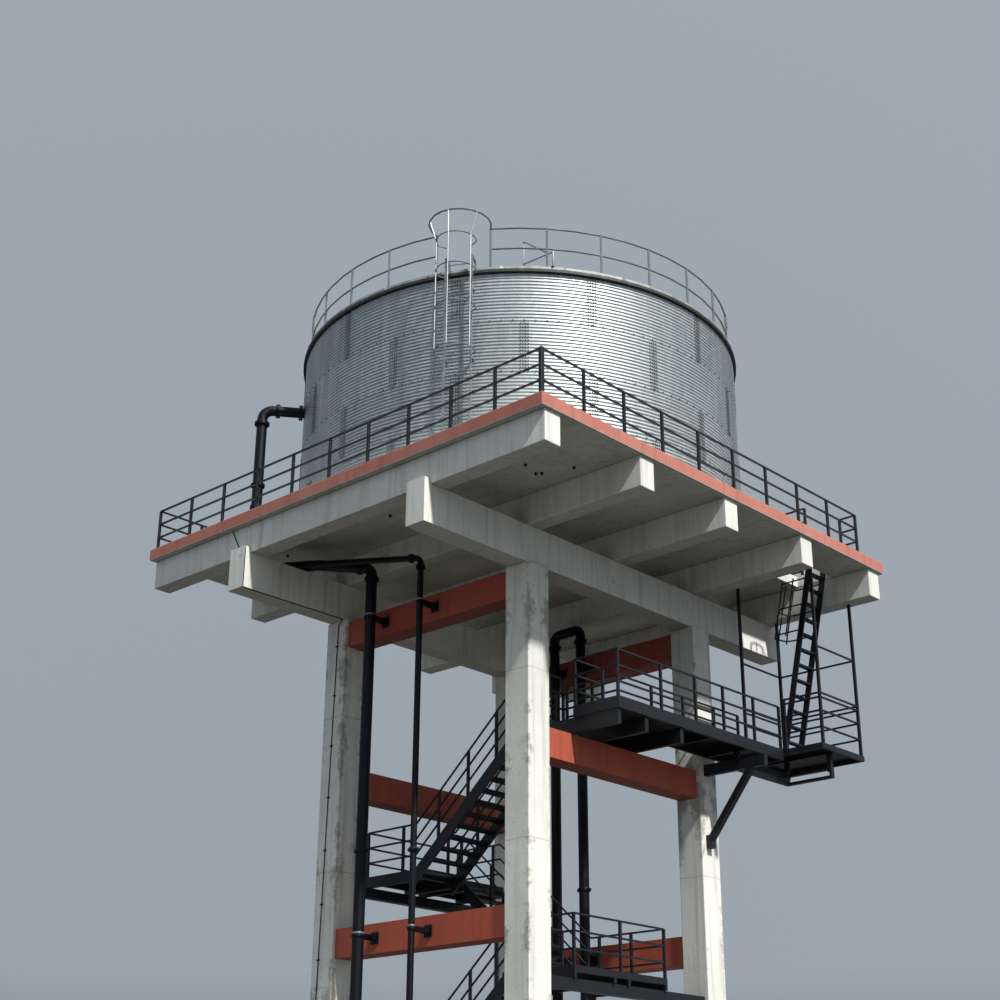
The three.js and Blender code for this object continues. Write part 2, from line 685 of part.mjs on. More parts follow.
// Railings round the deck edge, open at the corner beside the hatch
function deckRails() {
  const edge = DECK_RAIL_AT;
  const front = levelRailing([-edge, edge], DECK_RAIL_BAYS, DECK_LEVEL, -edge);
  const right = deckRail(DECK_RAIL_RIGHT_END, DECK_RAIL_RIGHT_BAYS, edge, true);
  const returned = levelRailing([DECK_RAIL_RETURN, edge], 1, DECK_LEVEL, DECK_RAIL_RIGHT_END);
  const guardEnd = edge - POST / 2 - SEAT;
  const guardLine = [[HATCH_GUARD_Y, DECK_LEVEL], [guardEnd, DECK_LEVEL]];
  const guardPosts = [HATCH_GUARD_Y, (HATCH_GUARD_Y + edge) / 2];
  piece('deck_rail_front', front, BLACK_STEEL);
  piece('deck_rail_left', deckRail(edge, DECK_RAIL_BAYS, -edge, true), BLACK_STEEL);
  piece('deck_rail_back', deckRail(HATCH_GUARD_X[0], DECK_RAIL_BACK_BAYS, edge), BLACK_STEEL);
  piece('deck_rail_right', join([right, returned]), BLACK_STEEL);
  piece('hatch_guard', join([
    levelRailing(HATCH_GUARD_X, 1, DECK_LEVEL, HATCH_GUARD_Y),
    railing(guardLine, guardPosts, HATCH_GUARD_X[0], true),
  ]), BLACK_STEEL);
}

// One flight that rises from x0 to x1: two stringers with treads between them
function flight(name, [x0, x1], [z0, z1], [y0, y1]) {
  const way = Math.sign(x1 - x0);
  const count = Math.round((z1 - z0) / RISER);
  const start = x0 + way * SEAT;
  const end = x1 - way * SEAT;
  const top = (x) => z0 + ((x - x0) * way * RISER) / GOING - STRINGER_DROP;
  const outline = [
    [start, top(start) - STRINGER_DEPTH],
    [end, top(end) - STRINGER_DEPTH],
    [end, top(end)],
    [start, top(start)],
  ];
  const solids = [uprightPlate(outline, [y0, y0 + STRINGER]), uprightPlate(outline, [y1 - STRINGER, y1])];
  const width = [y0 + STRINGER - TREAD_LAP, y1 - STRINGER + TREAD_LAP];
  for (let k = z0 > 0 ? 0 : 1; k < count; k += 1) {
    const nosing = k === 0 ? start : x0 + way * (NOSING_SETBACK + k * GOING);
    const back = k === count - 1 ? end : x0 + way * (NOSING_SETBACK + (k + 1) * GOING + TREAD_LAP);
    const level = z0 + k * RISER;
    solids.push(box([Math.min(nosing, back), Math.max(nosing, back)], width, [level - TREAD_THICK, level]));
  }
  const ground = box([-SLAB_HALF, SLAB_HALF], [-SLAB_HALF, SLAB_HALF], [-SLAB_HALF, 0]);
  piece(name, join(solids).subtract(ground), BLACK_STEEL);
}

function flights() {
  flight('stair_flight_1', [STAIR_FOOT, LEFT_EDGE], [0, LOW_LEVEL], BACK_LANE);
  flight('stair_flight_2', [LEFT_EDGE, MIDDLE_EDGE], [LOW_LEVEL, MIDDLE_LEVEL], FRONT_LANE);
  flight('stair_flight_3', [MIDDLE_EDGE, LEFT_EDGE], [MIDDLE_LEVEL, HIGH_LEVEL], BACK_LANE);
  flight('stair_flight_4', [LEFT_EDGE, WALKWAY_EDGE], [HIGH_LEVEL, WALKWAY_LEVEL], FRONT_LANE);
}

// Landing plate on channels: full depth along X under the stringers, shallower across the ends
function landingFrame([x0, x1], level) {
  const [y0, y1] = [FRONT_LANE[0], BACK_LANE[1]];
  const channels = [y0, FRONT_LANE[1] - CHANNEL, BACK_LANE[0], y1 - CHANNEL];
  return [
    box([x0, x1], [y0, y1], [level - DECK_PLATE, level]),
    box([x0, x0 + CHANNEL], [y0, y1], [level - LANDING_END_DEPTH, level]),
    box([x1 - CHANNEL, x1], [y0, y1], [level - LANDING_END_DEPTH, level]),
    ...channels.map((y) => box([x0, x1], [y, y + CHANNEL], [level - LANDING_DEPTH, level])),
  ];
}

// Beam between two columns, under a landing
function landingBeam(x0, level) {
  const top = level - LANDING_DEPTH;
  const x = [x0, x0 + LANDING_BEAM_WIDTH];
  return box(x, [-COLUMN_INNER_Y, COLUMN_INNER_Y], [top - LANDING_BEAM_DEPTH, top]);
}

function landings() {
  const middleBeam = MIDDLE_LANDING_END - LANDING_BEAM_INSET - LANDING_BEAM_WIDTH;
  const low = landingFrame([LOW_LANDING_END, LEFT_EDGE], LOW_LEVEL);
  const middle = landingFrame([MIDDLE_EDGE, MIDDLE_LANDING_END], MIDDLE_LEVEL);
  const high = landingFrame([HIGH_LANDING_END, LEFT_EDGE], HIGH_LEVEL);
  piece('landing_low', join(low), BLACK_STEEL);
  piece('landing_middle', join([...middle, landingBeam(middleBeam, MIDDLE_LEVEL)]), BLACK_STEEL);
  piece('landing_high', join([...high, landingBeam(HIGH_LANDING_END, HIGH_LEVEL)]), BLACK_STEEL);
}

// The two points between which a railing climbs over a flight, in rising x
function climb([x0, x1], [z0, z1]) {
  const shift = (Math.sign(x1 - x0) * STRINGER_DROP * GOING) / RISER;
  return [[x0 + shift, z0], [x1 + shift, z1]].sort((a, b) => a[0] - b[0]);
}

// Base lines of the railings over the four flights, from the ground up
const OVER_FLIGHT_1 = climb([STAIR_FOOT, LEFT_EDGE], [0, LOW_LEVEL]);
const OVER_FLIGHT_2 = climb([LEFT_EDGE, MIDDLE_EDGE], [LOW_LEVEL, MIDDLE_LEVEL]);
const OVER_FLIGHT_3 = climb([MIDDLE_EDGE, LEFT_EDGE], [MIDDLE_LEVEL, HIGH_LEVEL]);
const OVER_FLIGHT_4 = climb([LEFT_EDGE, WALKWAY_EDGE], [HIGH_LEVEL, WALKWAY_LEVEL]);

// Railings on the outer sides of the stair and round its landings
function stairRails() {
  const front = FRONT_LANE[0] + STRINGER_RAIL_INSET;
  const back = BACK_LANE[1] - STRINGER_RAIL_INSET;
  const sides = [front, back];
  const highEnd = HIGH_LANDING_END + RAIL_INSET;
  const lowEnd = LOW_LANDING_END + RAIL_INSET;
  const middleEnd = MIDDLE_LANDING_END - RAIL_INSET;
  const deckEnd = INNER_DECK_X[1] - RAIL_INSET;
  const clear = POST / 2 + SEAT;
  const alongFront = [[highEnd, HIGH_LEVEL], ...OVER_FLIGHT_4, [deckEnd, WALKWAY_LEVEL]];
  const toMiddle = [MIDDLE_NEWEL_X - clear, MIDDLE_LEVEL];
  const alongBack = [[highEnd, HIGH_LEVEL], ...OVER_FLIGHT_3, toMiddle];
  const bridge = [deckEnd, BRIDGE_RAIL_END].map((x) => [x, WALKWAY_LEVEL]);
  piece('stair_rail_upper', join([
    railing(alongFront, [highEnd, HIGH_POST_X, ...FLIGHT_POSTS_4, deckEnd], front),
    levelRailing([front, BRIDGE_RAIL_Y], 1, WALKWAY_LEVEL, deckEnd, true),
    railing(bridge, [deckEnd], BRIDGE_RAIL_Y),
    levelRailing(sides, 2, HIGH_LEVEL, highEnd, true),
    railing(alongBack, [highEnd, HIGH_POST_X, ...FLIGHT_POSTS_3], back),
  ]), BLACK_STEEL);
  const fromLow = [NEWEL_X + clear, LOW_LEVEL];
  const middlePosts = [FLIGHT_2_FIRST_POST, ...FLIGHT_POSTS_2, MIDDLE_POST_X, middleEnd];
  piece('stair_rail_middle', join([
    railing([fromLow, ...OVER_FLIGHT_2, [middleEnd, MIDDLE_LEVEL]], middlePosts, front),
    levelRailing(sides, 2, MIDDLE_LEVEL, middleEnd, true),
    levelRailing([MIDDLE_NEWEL_X, middleEnd], 2, MIDDLE_LEVEL, back),
  ]), BLACK_STEEL);
  piece('stair_rail_lower', join([
    levelRailing([lowEnd, NEWEL_X], 1, LOW_LEVEL, front),
    levelRailing(sides, 2, LOW_LEVEL, lowEnd, true),
    railing([[lowEnd, LOW_LEVEL], ...OVER_FLIGHT_1], [lowEnd, NEWEL_X, ...FLIGHT_POSTS_1], back),
  ]), BLACK_STEEL);
}

// Railings on the inner sides, each turning from one flight into the next at a landing
function innerStairRails() {
  const front = FRONT_LANE[1] - STRINGER_RAIL_INSET;
  const back = BACK_LANE[0] + STRINGER_RAIL_INSET;
  const clear = POST / 2 + SEAT;
  const lowTurn = [NEWEL_X, LOW_LEVEL];
  const highTurn = [NEWEL_X, HIGH_LEVEL];
  const middleTurn = [MIDDLE_NEWEL_X, MIDDLE_LEVEL];
  const toMiddle = [MIDDLE_NEWEL_X - clear, MIDDLE_LEVEL];
  const head = [INNER_RAIL_END, heightAt(OVER_FLIGHT_4, INNER_RAIL_END)];
  const over2 = [lowTurn, ...OVER_FLIGHT_2, middleTurn];
  const over4 = [highTurn, OVER_FLIGHT_4[0], head];
  piece('stair_rail_inner_low', join([
    railing([lowTurn, ...OVER_FLIGHT_1], [NEWEL_X, ...FLIGHT_POSTS_1], back),
    levelRailing([front, back], 1, LOW_LEVEL, NEWEL_X, true),
    railing(over2, [NEWEL_X, ...FLIGHT_POSTS_2, MIDDLE_NEWEL_X], front),
    levelRailing([front, back], 1, MIDDLE_LEVEL, MIDDLE_NEWEL_X, true),
  ]), BLACK_STEEL);
  piece('stair_rail_inner_high', join([
    railing([highTurn, ...OVER_FLIGHT_3, toMiddle], [NEWEL_X, ...FLIGHT_POSTS_3], back),
    levelRailing([front, back], 1, HIGH_LEVEL, NEWEL_X, true),
    railing(over4, [NEWEL_X, ...FLIGHT_POSTS_4, INNER_RAIL_END - POST / 2], front),
  ]), BLACK_STEEL);
}

// Deck plate with a channel along each edge
function framedDeck([x0, x1], [y0, y1], level, depth) {
  const height = [level - depth, level];
  return [
    box([x0, x1], [y0, y1], [level - DECK_PLATE, level]),
    box([x0, x0 + CHANNEL], [y0, y1], height),
    box([x1 - CHANNEL, x1], [y0, y1], height),
    box([x0, x1], [y0, y0 + CHANNEL], height),
    box([x0, x1], [y1 - CHANNEL, y1], height),
  ];
}

// Walkway in three decks, on bearers that lie on the tie beam and stand out past it
function walkway() {
  const top = WALKWAY_LEVEL - LANDING_DEPTH;
  const bearers = BEARERS_Y.map((y) => box(BEARER_X, about(y, BEARER), [UPPER_TIE_LEVEL, top]));
  const joists = STRIP_JOISTS_Y.map((y) => box(STRIP_X, about(y, CHANNEL), [top, WALKWAY_LEVEL]));
  const decks = join([
    ...framedDeck(INNER_DECK_X, [STRIP_Y[0], BRIDGE_Y[1]], WALKWAY_LEVEL, LANDING_DEPTH),
    ...framedDeck(BRIDGE_X, BRIDGE_Y, WALKWAY_LEVEL, LANDING_DEPTH),
    ...framedDeck(STRIP_X, STRIP_Y, WALKWAY_LEVEL, LANDING_DEPTH),
    ...joists,
  ]);
  const slit = box(...DECK_SLIT, [top, WALKWAY_LEVEL + DECK_PLATE]);
  piece('walkway', decks.subtract(slit).add(join(bearers)), BLACK_STEEL);
}

function walkwayRails() {
  const outer = STRIP_X[1] - RAIL_INSET;
  const inner = STRIP_X[0] + RAIL_INSET;
  const front = STRIP_Y[0] + STRINGER_RAIL_INSET;
  const end = STRIP_Y[1] - RAIL_INSET;
  const along = (start) => [[start, WALKWAY_LEVEL], [end, WALKWAY_LEVEL]];
  piece('walkway_rail_outer', join([
    levelRailing([front, BRIDGE_RAIL_Y], 1, WALKWAY_LEVEL, inner, true),
    levelRailing([inner, outer], 1, WALKWAY_LEVEL, front),
    railing(along(front), [front, ...OUTER_POSTS_Y, end], outer, true),
  ]), BLACK_STEEL);
  piece('walkway_rail_inner', join([
    levelRailing([TURN_RAIL_START, inner], 2, WALKWAY_LEVEL, TURN_RAIL_Y),
    railing(along(TURN_RAIL_Y), [TURN_RAIL_Y, ...INNER_POSTS_Y, end], inner, true),
  ]), BLACK_STEEL);
}

// Landing under the hatch with the frame below it, held off the back column by a braced bracket
function ladderPlatform() {
  const frame = (x, y) => box(x, y, UNDERFRAME);
  const stub = (x, y, top) => box(about(x, STUB), about(y, STUB), [UNDERFRAME[1] - STUB, top]);
  const columnFace = COLUMN_X + COLUMN_SIDE / 2;
  const underPlatform = WALKWAY_LEVEL - PLATFORM_DEPTH + DECK_PLATE;
  const underWalkway = WALKWAY_LEVEL - LANDING_DEPTH;
  const [nearX, farX] = UNDERBEAM_X;
  const [nearSide, farSide] = [nearX - UNDERBEAM / 2, farX + UNDERBEAM / 2];
  const chord = (heights) => box([nearSide, farSide], about(CROSSBEAM_Y, UNDERBEAM), heights);
  piece('ladder_platform', join([
    ...framedDeck(PLATFORM_X, PLATFORM_Y, WALKWAY_LEVEL, PLATFORM_DEPTH),
    box(PLATFORM_X, about(CROSSBEAM_Y, STUB), [WALKWAY_LEVEL - PLATFORM_DEPTH, WALKWAY_LEVEL]),
    frame([columnFace, BRACKET_END], about(BRACKET_Y, UNDERBEAM)),
    frame(about(nearX, UNDERBEAM), [BRACKET_Y, CROSSBEAM_Y]),
    chord([UNDERFRAME[0], UNDERFRAME[0] + UNDERFRAME_CHORD]),
    chord([UNDERFRAME[1] - UNDERFRAME_CHORD, UNDERFRAME[1]]),
    frame([farSide - UNDERFRAME_CHORD, farSide], about(CROSSBEAM_Y, UNDERBEAM)),
    stub(nearX, BRACKET_Y, underWalkway),
    stub(nearX, CROSSBEAM_Y, underPlatform),
    stub(farX, CROSSBEAM_Y, underPlatform),
    box(...GUSSET),
    bar(BRACE_FOOT, BRACE_HEAD, BRACE, BRACE),
  ]), BLACK_STEEL);
}

// Hangers from the deck down to the platform, with the tie rails and guard rails between them
function hangers() {
  const [leftX, rightX] = HANGER_X;
  const [nearY, farY] = HANGER_Y;
  const foot = WALKWAY_LEVEL + SEAT;
  const hanger = (x, y, top) => box(about(x, HANGER), about(y, HANGER), [foot, top - SEAT]);
  const levels = [HANGER_TIE_LEVEL, ...GUARD_RAILS];
  const alongX = (ends, y, heights) => heights.map((z) => (
    box(ends, about(y, RAIL_THICK), about(z, RAIL_THICK))
  ));
  const alongY = (x) => levels.map((z) => (
    box(about(x, RAIL_THICK), [nearY, farY], about(z, RAIL_THICK))
  ));
  piece('platform_guard_left', join([
    hanger(leftX, nearY, SLAB_BOTTOM),
    hanger(leftX, farY, MAIN_BEAM_TOP),
    ...alongY(leftX),
    ...alongX([leftX, rightX - HANGER / 2 - SEAT], farY, levels),
  ]), BLACK_STEEL);
  piece('platform_guard_right', join([
    hanger(rightX, nearY, SLAB_BOTTOM),
    hanger(rightX, farY, MAIN_BEAM_TOP),
    ...alongY(rightX),
    ...alongX([GUARD_START_X, rightX], nearY, GUARD_RAILS),
    box(about(GUARD_START_X, HANGER), about(nearY, HANGER), [foot, GUARD_RAILS[0]]),
  ]), BLACK_STEEL);
}

// Middle of the ship ladder's stile at a height
function shipLadderX(z) {
  return SHIP_LADDER_X + SHIP_LADDER_LEAN * (z - WALKWAY_LEVEL);
}

// Steep ladder with flat treads, from the platform through the hatch to the deck
function shipLadder() {
  const [thick, deep] = SHIP_STILE;
  const ends = [WALKWAY_LEVEL + SEAT, DECK_LEVEL];
  const [low, high] = ends.map((z) => about(shipLadderX(z), deep).map((x) => [x, z]));
  const outline = [...low, high[1], high[0]];
  const stiles = SHIP_LADDER_Y.map((y) => uprightPlate(outline, about(y, thick)));
  const treads = Array.from({ length: SHIP_TREADS }, (_, k) => {
    const z = WALKWAY_LEVEL + (k + 1) * SHIP_TREAD_STEP;
    return box(about(shipLadderX(z), deep - TREAD_LAP), SHIP_LADDER_Y, about(z, RAIL_THICK));
  });
  const reach = [shipLadderX(LUG_LEVEL), HATCH_X[1]];
  const lugs = SHIP_LADDER_Y.map((y) => box(reach, about(y, thick), about(LUG_LEVEL, LUG)));
  piece('ship_ladder', join([...stiles, ...treads, ...lugs]), BLACK_STEEL);
}

// Cage on the climbing side of the ship ladder, under the hatch
function shipLadderCage() {
  const [y0, y1] = SHIP_LADDER_Y;
  const middle = (y0 + y1) / 2;
  const face = SHIP_STILE[1] / 2 + SHIP_CAGE_BAR * SHIP_LADDER_LEAN + SEAT;
  const back = SHIP_STILE[1] / 2 + SHIP_CAGE_DEPTH;
  const hoops = SHIP_CAGE_HOOPS.map((z) => {
    const x = shipLadderX(z);
    const corners = [[x - face, y0, z], [x - back, y0, z], [x - back, y1, z], [x - face, y1, z]];
    return tube(rounded(corners, SHIP_CAGE_CORNER), SHIP_CAGE_BAR, 6);
  });
  const bend = SHIP_CAGE_CORNER * (1 - Math.SQRT1_2);
  const corner = back - bend;
  const half = back / 2;
  const places = [[half, y0], [corner, y0 + bend], [back, middle], [corner, y1 - bend], [half, y1]];
  const [lowest, highest] = [SHIP_CAGE_HOOPS[0], SHIP_CAGE_HOOPS[2]];
  const height = [lowest - SHIP_CAGE_OVERHANG, highest + SHIP_CAGE_OVERHANG];
  const bars = places.map(([out, y]) => {
    const [from, to] = height.map((z) => [shipLadderX(z) - out, y, z]);
    return rod(from, to, SHIP_CAGE_BAR, 6);
  });
  piece('ship_ladder_cage', join([...hoops, ...bars]), BLACK_STEEL);
}

// Collar round an upright pipe, centred on a height
function collar(x, y, z, radius) {
  const [from, to] = about(z, COLLAR_HEIGHT).map((height) => [x, y, height]);
  return rod(from, to, radius + COLLAR_LIP, PIPE_FLATS);
}

// Clamps that hold an upright pipe to the faces of two tie beams
function clamps(x, y, face, radius) {
  const reach = [Math.min(face, y), Math.max(face, y)];
  return TIE_CLAMP_LEVELS.flatMap((z) => {
    const [from, to] = about(z, CLAMP_BLOCK / 2).map((height) => [x, y, height]);
    const block = box(about(x, CLAMP_BLOCK), reach, about(z, CLAMP_BLOCK));
    return [block, rod(from, to, radius + CLAMP_LIP, PIPE_FLATS)];
  });
}

// Pipe from the tank wall down to the deck, on the front left
function outletPipe() {
  const wall = polar(TANK_RADIUS - TANK_WALL, OUTLET_ANGLE, OUTLET_LEVEL);
  const turn = [DROP_X, DROP_Y, OUTLET_LEVEL];
  const foot = [DROP_X, DROP_Y, DECK_LEVEL + SEAT];
  const lip = [DROP_X, DROP_Y, DECK_LEVEL + SEAT + FLANGE_THICK];
  const face = polar(TANK_RADIUS + FLANGE_THICK, OUTLET_ANGLE, OUTLET_LEVEL);
  const pipe = join([
    tube(rounded([wall, turn, foot], BEND), MAIN_PIPE, PIPE_FLATS),
    rod(wall, face, FLANGE_RADIUS, PIPE_FLATS),
    rod(foot, lip, FLANGE_RADIUS, PIPE_FLATS),
    ...OUTLET_COLLARS.map((z) => collar(DROP_X, DROP_Y, z, MAIN_PIPE)),
  ]);
  const tank = drum(TANK_RADIUS + 2 * SEAT, [DECK_LEVEL, TANK_TOP]);
  piece('outlet_pipe', pipe.subtract(tank), BLACK_PIPE);
}

// Two risers at the front: the thick one runs along the beams to the drop under the deck,
// the thin one slants over the beam to the same drop
function risers() {
  const header = [
    [DROP_X, DROP_Y, SLAB_BOTTOM - SEAT],
    [DROP_X, DROP_Y, HEADER_LEVEL],
    [...HEADER_KINK, HEADER_LEVEL],
    [MAIN_RISER_X, RISER_Y, HEADER_LOW],
    [MAIN_RISER_X, RISER_Y, 0],
  ];
  const branch = [
    [DROP_X, DROP_Y, BRANCH_LEVEL],
    [...BRANCH_KINK, BRANCH_LEVEL],
    [BRANCH_RISER_X, RISER_Y, BRANCH_LOW],
    [BRANCH_RISER_X, RISER_Y, 0],
  ];
  piece('pipe_main', join([
    tube(rounded(header, BEND), MAIN_PIPE, PIPE_FLATS),
    collar(MAIN_RISER_X, RISER_Y, MAIN_COLLAR_LEVEL, MAIN_PIPE),
    ...clamps(MAIN_RISER_X, RISER_Y, TIE_FRONT_FACE, MAIN_PIPE),
  ]), BLACK_PIPE);
  const clearance = tube(rounded(header, BEND), MAIN_PIPE + 2 * SEAT, PIPE_FLATS);
  const thin = join([
    tube(rounded(branch, BRANCH_BEND), BRANCH_PIPE, PIPE_FLATS),
    collar(BRANCH_RISER_X, RISER_Y, BRANCH_COLLAR_LEVEL, BRANCH_PIPE),
    ...clamps(BRANCH_RISER_X, RISER_Y, TIE_FRONT_FACE, BRANCH_PIPE),
  ]);
  piece('pipe_branch', thin.subtract(clearance), BLACK_PIPE);
}

// Pair of pipes behind the stair, joined by a bow under the deck
function pipeLoop() {
  const [x0, x1] = LOOP_X;
  const heights = [[x0, 0], [x0, LOOP_TOP], [x1, LOOP_TOP], [x1, 0]];
  const route = heights.map(([x, z]) => [x, LOOP_Y, z]);
  piece('pipe_loop', join([
    tube(rounded(route, BEND), LOOP_PIPE, PIPE_FLATS),
    collar(x1, LOOP_Y, LOOP_COLLAR_LEVEL, LOOP_PIPE),
    ...clamps(x0, LOOP_Y, TIE_BACK_INNER_FACE, LOOP_PIPE),
    ...clamps(x1, LOOP_Y, TIE_BACK_INNER_FACE, LOOP_PIPE),
  ]), BLACK_PIPE);
}

columns();
ties();
mainBeams();
joists();
deckSlab();
tankWall();
tankFloor();
tankRoof();
tankRail();
tankLadder();
tankLadderCage();
deckRails();
flights();
landings();
stairRails();
innerStairRails();
walkway();
walkwayRails();
ladderPlatform();
hangers();
shipLadder();
shipLadderCage();
outletPipe();
risers();
pipeLoop();

export default root;
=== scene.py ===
import math

import bpy
from bpy.props import FloatProperty, FloatVectorProperty, IntProperty, PointerProperty
from bpy.types import Operator, Panel, PropertyGroup
from mathutils import Matrix, Vector


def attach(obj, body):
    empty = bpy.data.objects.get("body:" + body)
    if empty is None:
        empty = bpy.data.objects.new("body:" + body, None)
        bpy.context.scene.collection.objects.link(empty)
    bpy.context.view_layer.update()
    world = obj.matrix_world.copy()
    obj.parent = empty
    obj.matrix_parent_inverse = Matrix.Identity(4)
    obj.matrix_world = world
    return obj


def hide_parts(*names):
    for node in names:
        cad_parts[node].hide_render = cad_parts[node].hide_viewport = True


bl_info = {
    "name": "Elevated water tank",
    "version": (1, 0, 0),
    "blender": (4, 5, 0),
    "location": "View3D > Sidebar > Water tank",
    "description": "Dresses the packed water tank with its sheet, pipework, trim and finishes",
    "category": "Object",
}

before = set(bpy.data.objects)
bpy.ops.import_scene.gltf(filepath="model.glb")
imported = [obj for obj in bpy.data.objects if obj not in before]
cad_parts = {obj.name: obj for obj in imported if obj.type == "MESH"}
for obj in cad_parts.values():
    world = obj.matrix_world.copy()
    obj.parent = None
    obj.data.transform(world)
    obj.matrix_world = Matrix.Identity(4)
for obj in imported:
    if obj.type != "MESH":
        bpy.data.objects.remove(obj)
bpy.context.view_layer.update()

# Places and sizes taken over from the CAD model, in metres and degrees
TANK_RADIUS = 4.28
TANK_FOOT = 12.85
TANK_TOP = 16.65
DECK = 12.85
DECK_HALF = 5.0
SLAB_BOTTOM = 12.63
RAIL_LINE = 4.9
COLUMN_CENTRE = (2.27, 2.31, 0)
COLUMN_HALF = (0.26, 0.26, 0)
TIE_FACE = -2.51
BACK_TIE_FACE = 2.11
RISER_Y = -2.9
MAIN_X = -1.0
BRANCH_X = 0.27
LOOP_Y = 1.85
LOOP_LEFT = -0.72
LOOP_RIGHT = -0.05
OUTLET_X = -3.0
OUTLET_Y = -4.09
OUTLET_LEVEL = 15.5
OUTLET_ANGLE = -126

# Places and counts read off the photo
CLAMP_LEVELS = (5.51, 11.11)
DRAIN_PLACES = ((3.31, -3.5), (3.2, -3.12), (3.28, -3.06), (3.83, -2.88), (-2.79, -3.43),
                (0.07, -3.49), (3.5, 1.2), (-3.5, 1.3), (0.9, 3.5))
SEAM_ANGLE = -30.3
POUR_HEIGHT = 2.8
POUR_SHIFT = 1.635
ROOF_RIBS = 24
TANK_SIDES = 96

# Camera and sun solved from the photo
CAMERA_PLACE = (19.5219, -21.5339, 1.6164)
CAMERA_YAW = 2.3203
CAMERA_PITCH = 0.404
CAMERA_ROLL = 0.0054
CAMERA_LENS = 58.15
TOWARD_SUN = (0.6716, -0.1184, 0.7314)
TOWARD_GLOW = (0.77, -0.64, 0.0)

CONCRETE_NODES = ("column", "main_beam", "joist")
TIE_NODES = ("tie_",)
TUBE_NODES = ("tank_rail", "tank_ladder")


def linear(colour):
    """An sRGB hex value as linear red, green, blue and alpha."""
    parts = [(colour >> shift & 255) / 255 for shift in (16, 8, 0)]
    return [p / 12.92 if p <= 0.04045 else ((p + 0.055) / 1.055) ** 2.4 for p in parts] + [1.0]


class TankSizes(PropertyGroup):
    waves: IntProperty(
        name="Waves", description="Corrugations up the tank wall", default=57, min=10, max=80)
    wave_depth: FloatProperty(
        name="Wave depth", description="Crest to trough", default=0.017, unit="LENGTH")
    sheets: IntProperty(
        name="Sheets", description="Sheets in each course of the wall", default=11, min=4, max=24)
    course_waves: IntProperty(
        name="Course", description="Corrugations in each course", default=15, min=6, max=20)
    bolt_radius: FloatProperty(
        name="Bolt radius", description="Bolt heads of the wall", default=0.011, unit="LENGTH")
    main_pipe: FloatProperty(
        name="Main pipe", description="Radius of the thick risers", default=0.1, unit="LENGTH")
    branch_pipe: FloatProperty(
        name="Branch pipe", description="Radius of the thin riser", default=0.055, unit="LENGTH")


class TankColours(PropertyGroup):
    concrete: FloatVectorProperty(
        name="Concrete", description="Dry cast concrete", subtype="COLOR", size=4,
        default=linear(0xD6D6D0))
    ties: FloatVectorProperty(
        name="Tie beams", description="Red paint on the ties", subtype="COLOR", size=4,
        default=linear(0x9E4630))
    deck_edge: FloatVectorProperty(
        name="Deck edge", description="Faded paint on the slab's edge", subtype="COLOR", size=4,
        default=linear(0xAD6A5C))
    sheet: FloatVectorProperty(
        name="Sheet", description="Zinc of the tank wall", subtype="COLOR", size=4,
        default=linear(0xBAC2C3))
    steel: FloatVectorProperty(
        name="Steelwork", description="Blue-black paint", subtype="COLOR", size=4,
        default=linear(0x0B0E14))


def sizes():
    """The sizes set in the panel."""
    return bpy.context.scene.tank_sizes


def colours():
    """The colours set in the panel."""
    return bpy.context.scene.tank_colours


def add(tree, kind, sockets=None, **settings):
    """Adds a node with its settings, its values and its links."""
    node = tree.nodes.new(kind)
    for name, value in settings.items():
        setattr(node, name, value)
    for name, value in (sockets or {}).items():
        if isinstance(value, bpy.types.NodeSocket):
            tree.links.new(value, node.inputs[name])
        else:
            node.inputs[name].default_value = value
    return node


def new_finish(name, metallic, roughness):
    """An empty material with its shader and the object's own coordinates."""
    material = bpy.data.materials.new(name)
    material.use_nodes = True
    tree = material.node_tree
    shader = tree.nodes["Principled BSDF"]
    shader.inputs["Metallic"].default_value = metallic
    shader.inputs["Roughness"].default_value = roughness
    place = add(tree, "ShaderNodeTexCoord").outputs["Object"]
    return material, tree, shader, place


def blend(tree, share, low, high, kind="MIX"):
    """Colour between two others, or one laid over the other."""
    mix = add(tree, "ShaderNodeMix", {0: share, 6: low, 7: high},
              data_type="RGBA", blend_type=kind)
    return mix.outputs[2]


def noise(tree, place, scale, detail, roughness=0.5):
    """Cloudy noise at each place, from 0 to 1."""
    made = add(tree, "ShaderNodeTexNoise", {
        "Vector": place, "Scale": scale, "Detail": detail, "Roughness": roughness})
    return made.outputs[0]


def spread(tree, value, low, high, to_low=0.0, to_high=1.0, **settings):
    """A value moved from one range to another and held at its ends."""
    made = add(tree, "ShaderNodeMapRange", {
        "Value": value, "From Min": low, "From Max": high,
        "To Min": to_low, "To Max": to_high}, **settings)
    return made.outputs[0]


def maths(tree, operation, *values):
    """Result of one operation on numbers or links."""
    return add(tree, "ShaderNodeMath", dict(enumerate(values)), operation=operation).outputs[0]


def vector_maths(tree, operation, *values):
    """Outputs of one operation on vectors."""
    made = add(tree, "ShaderNodeVectorMath", dict(enumerate(values)), operation=operation)
    return made.outputs


def split(tree, vector):
    """The x, y and z of a vector."""
    return add(tree, "ShaderNodeSeparateXYZ", {0: vector}).outputs


def stretched(tree, place, across, along):
    """Place squeezed in height, so that a pattern on it runs down the surface."""
    made = add(tree, "ShaderNodeMapping", {"Vector": place, "Scale": (across, across, along)})
    return made.outputs[0]


def facing_up(tree):
    """How far the surface faces up: 1 on top faces, -1 on soffits."""
    return split(tree, add(tree, "ShaderNodeNewGeometry").outputs["Normal"])[2]


def angle_round(tree, place):
    """Angle round the tank's axis, in radians."""
    parts = split(tree, place)
    return maths(tree, "ARCTAN2", parts[1], parts[0])


def paint(tree, shader, colour):
    """Makes a colour the base colour of the finish."""
    tree.links.new(colour, shader.inputs["Base Color"])


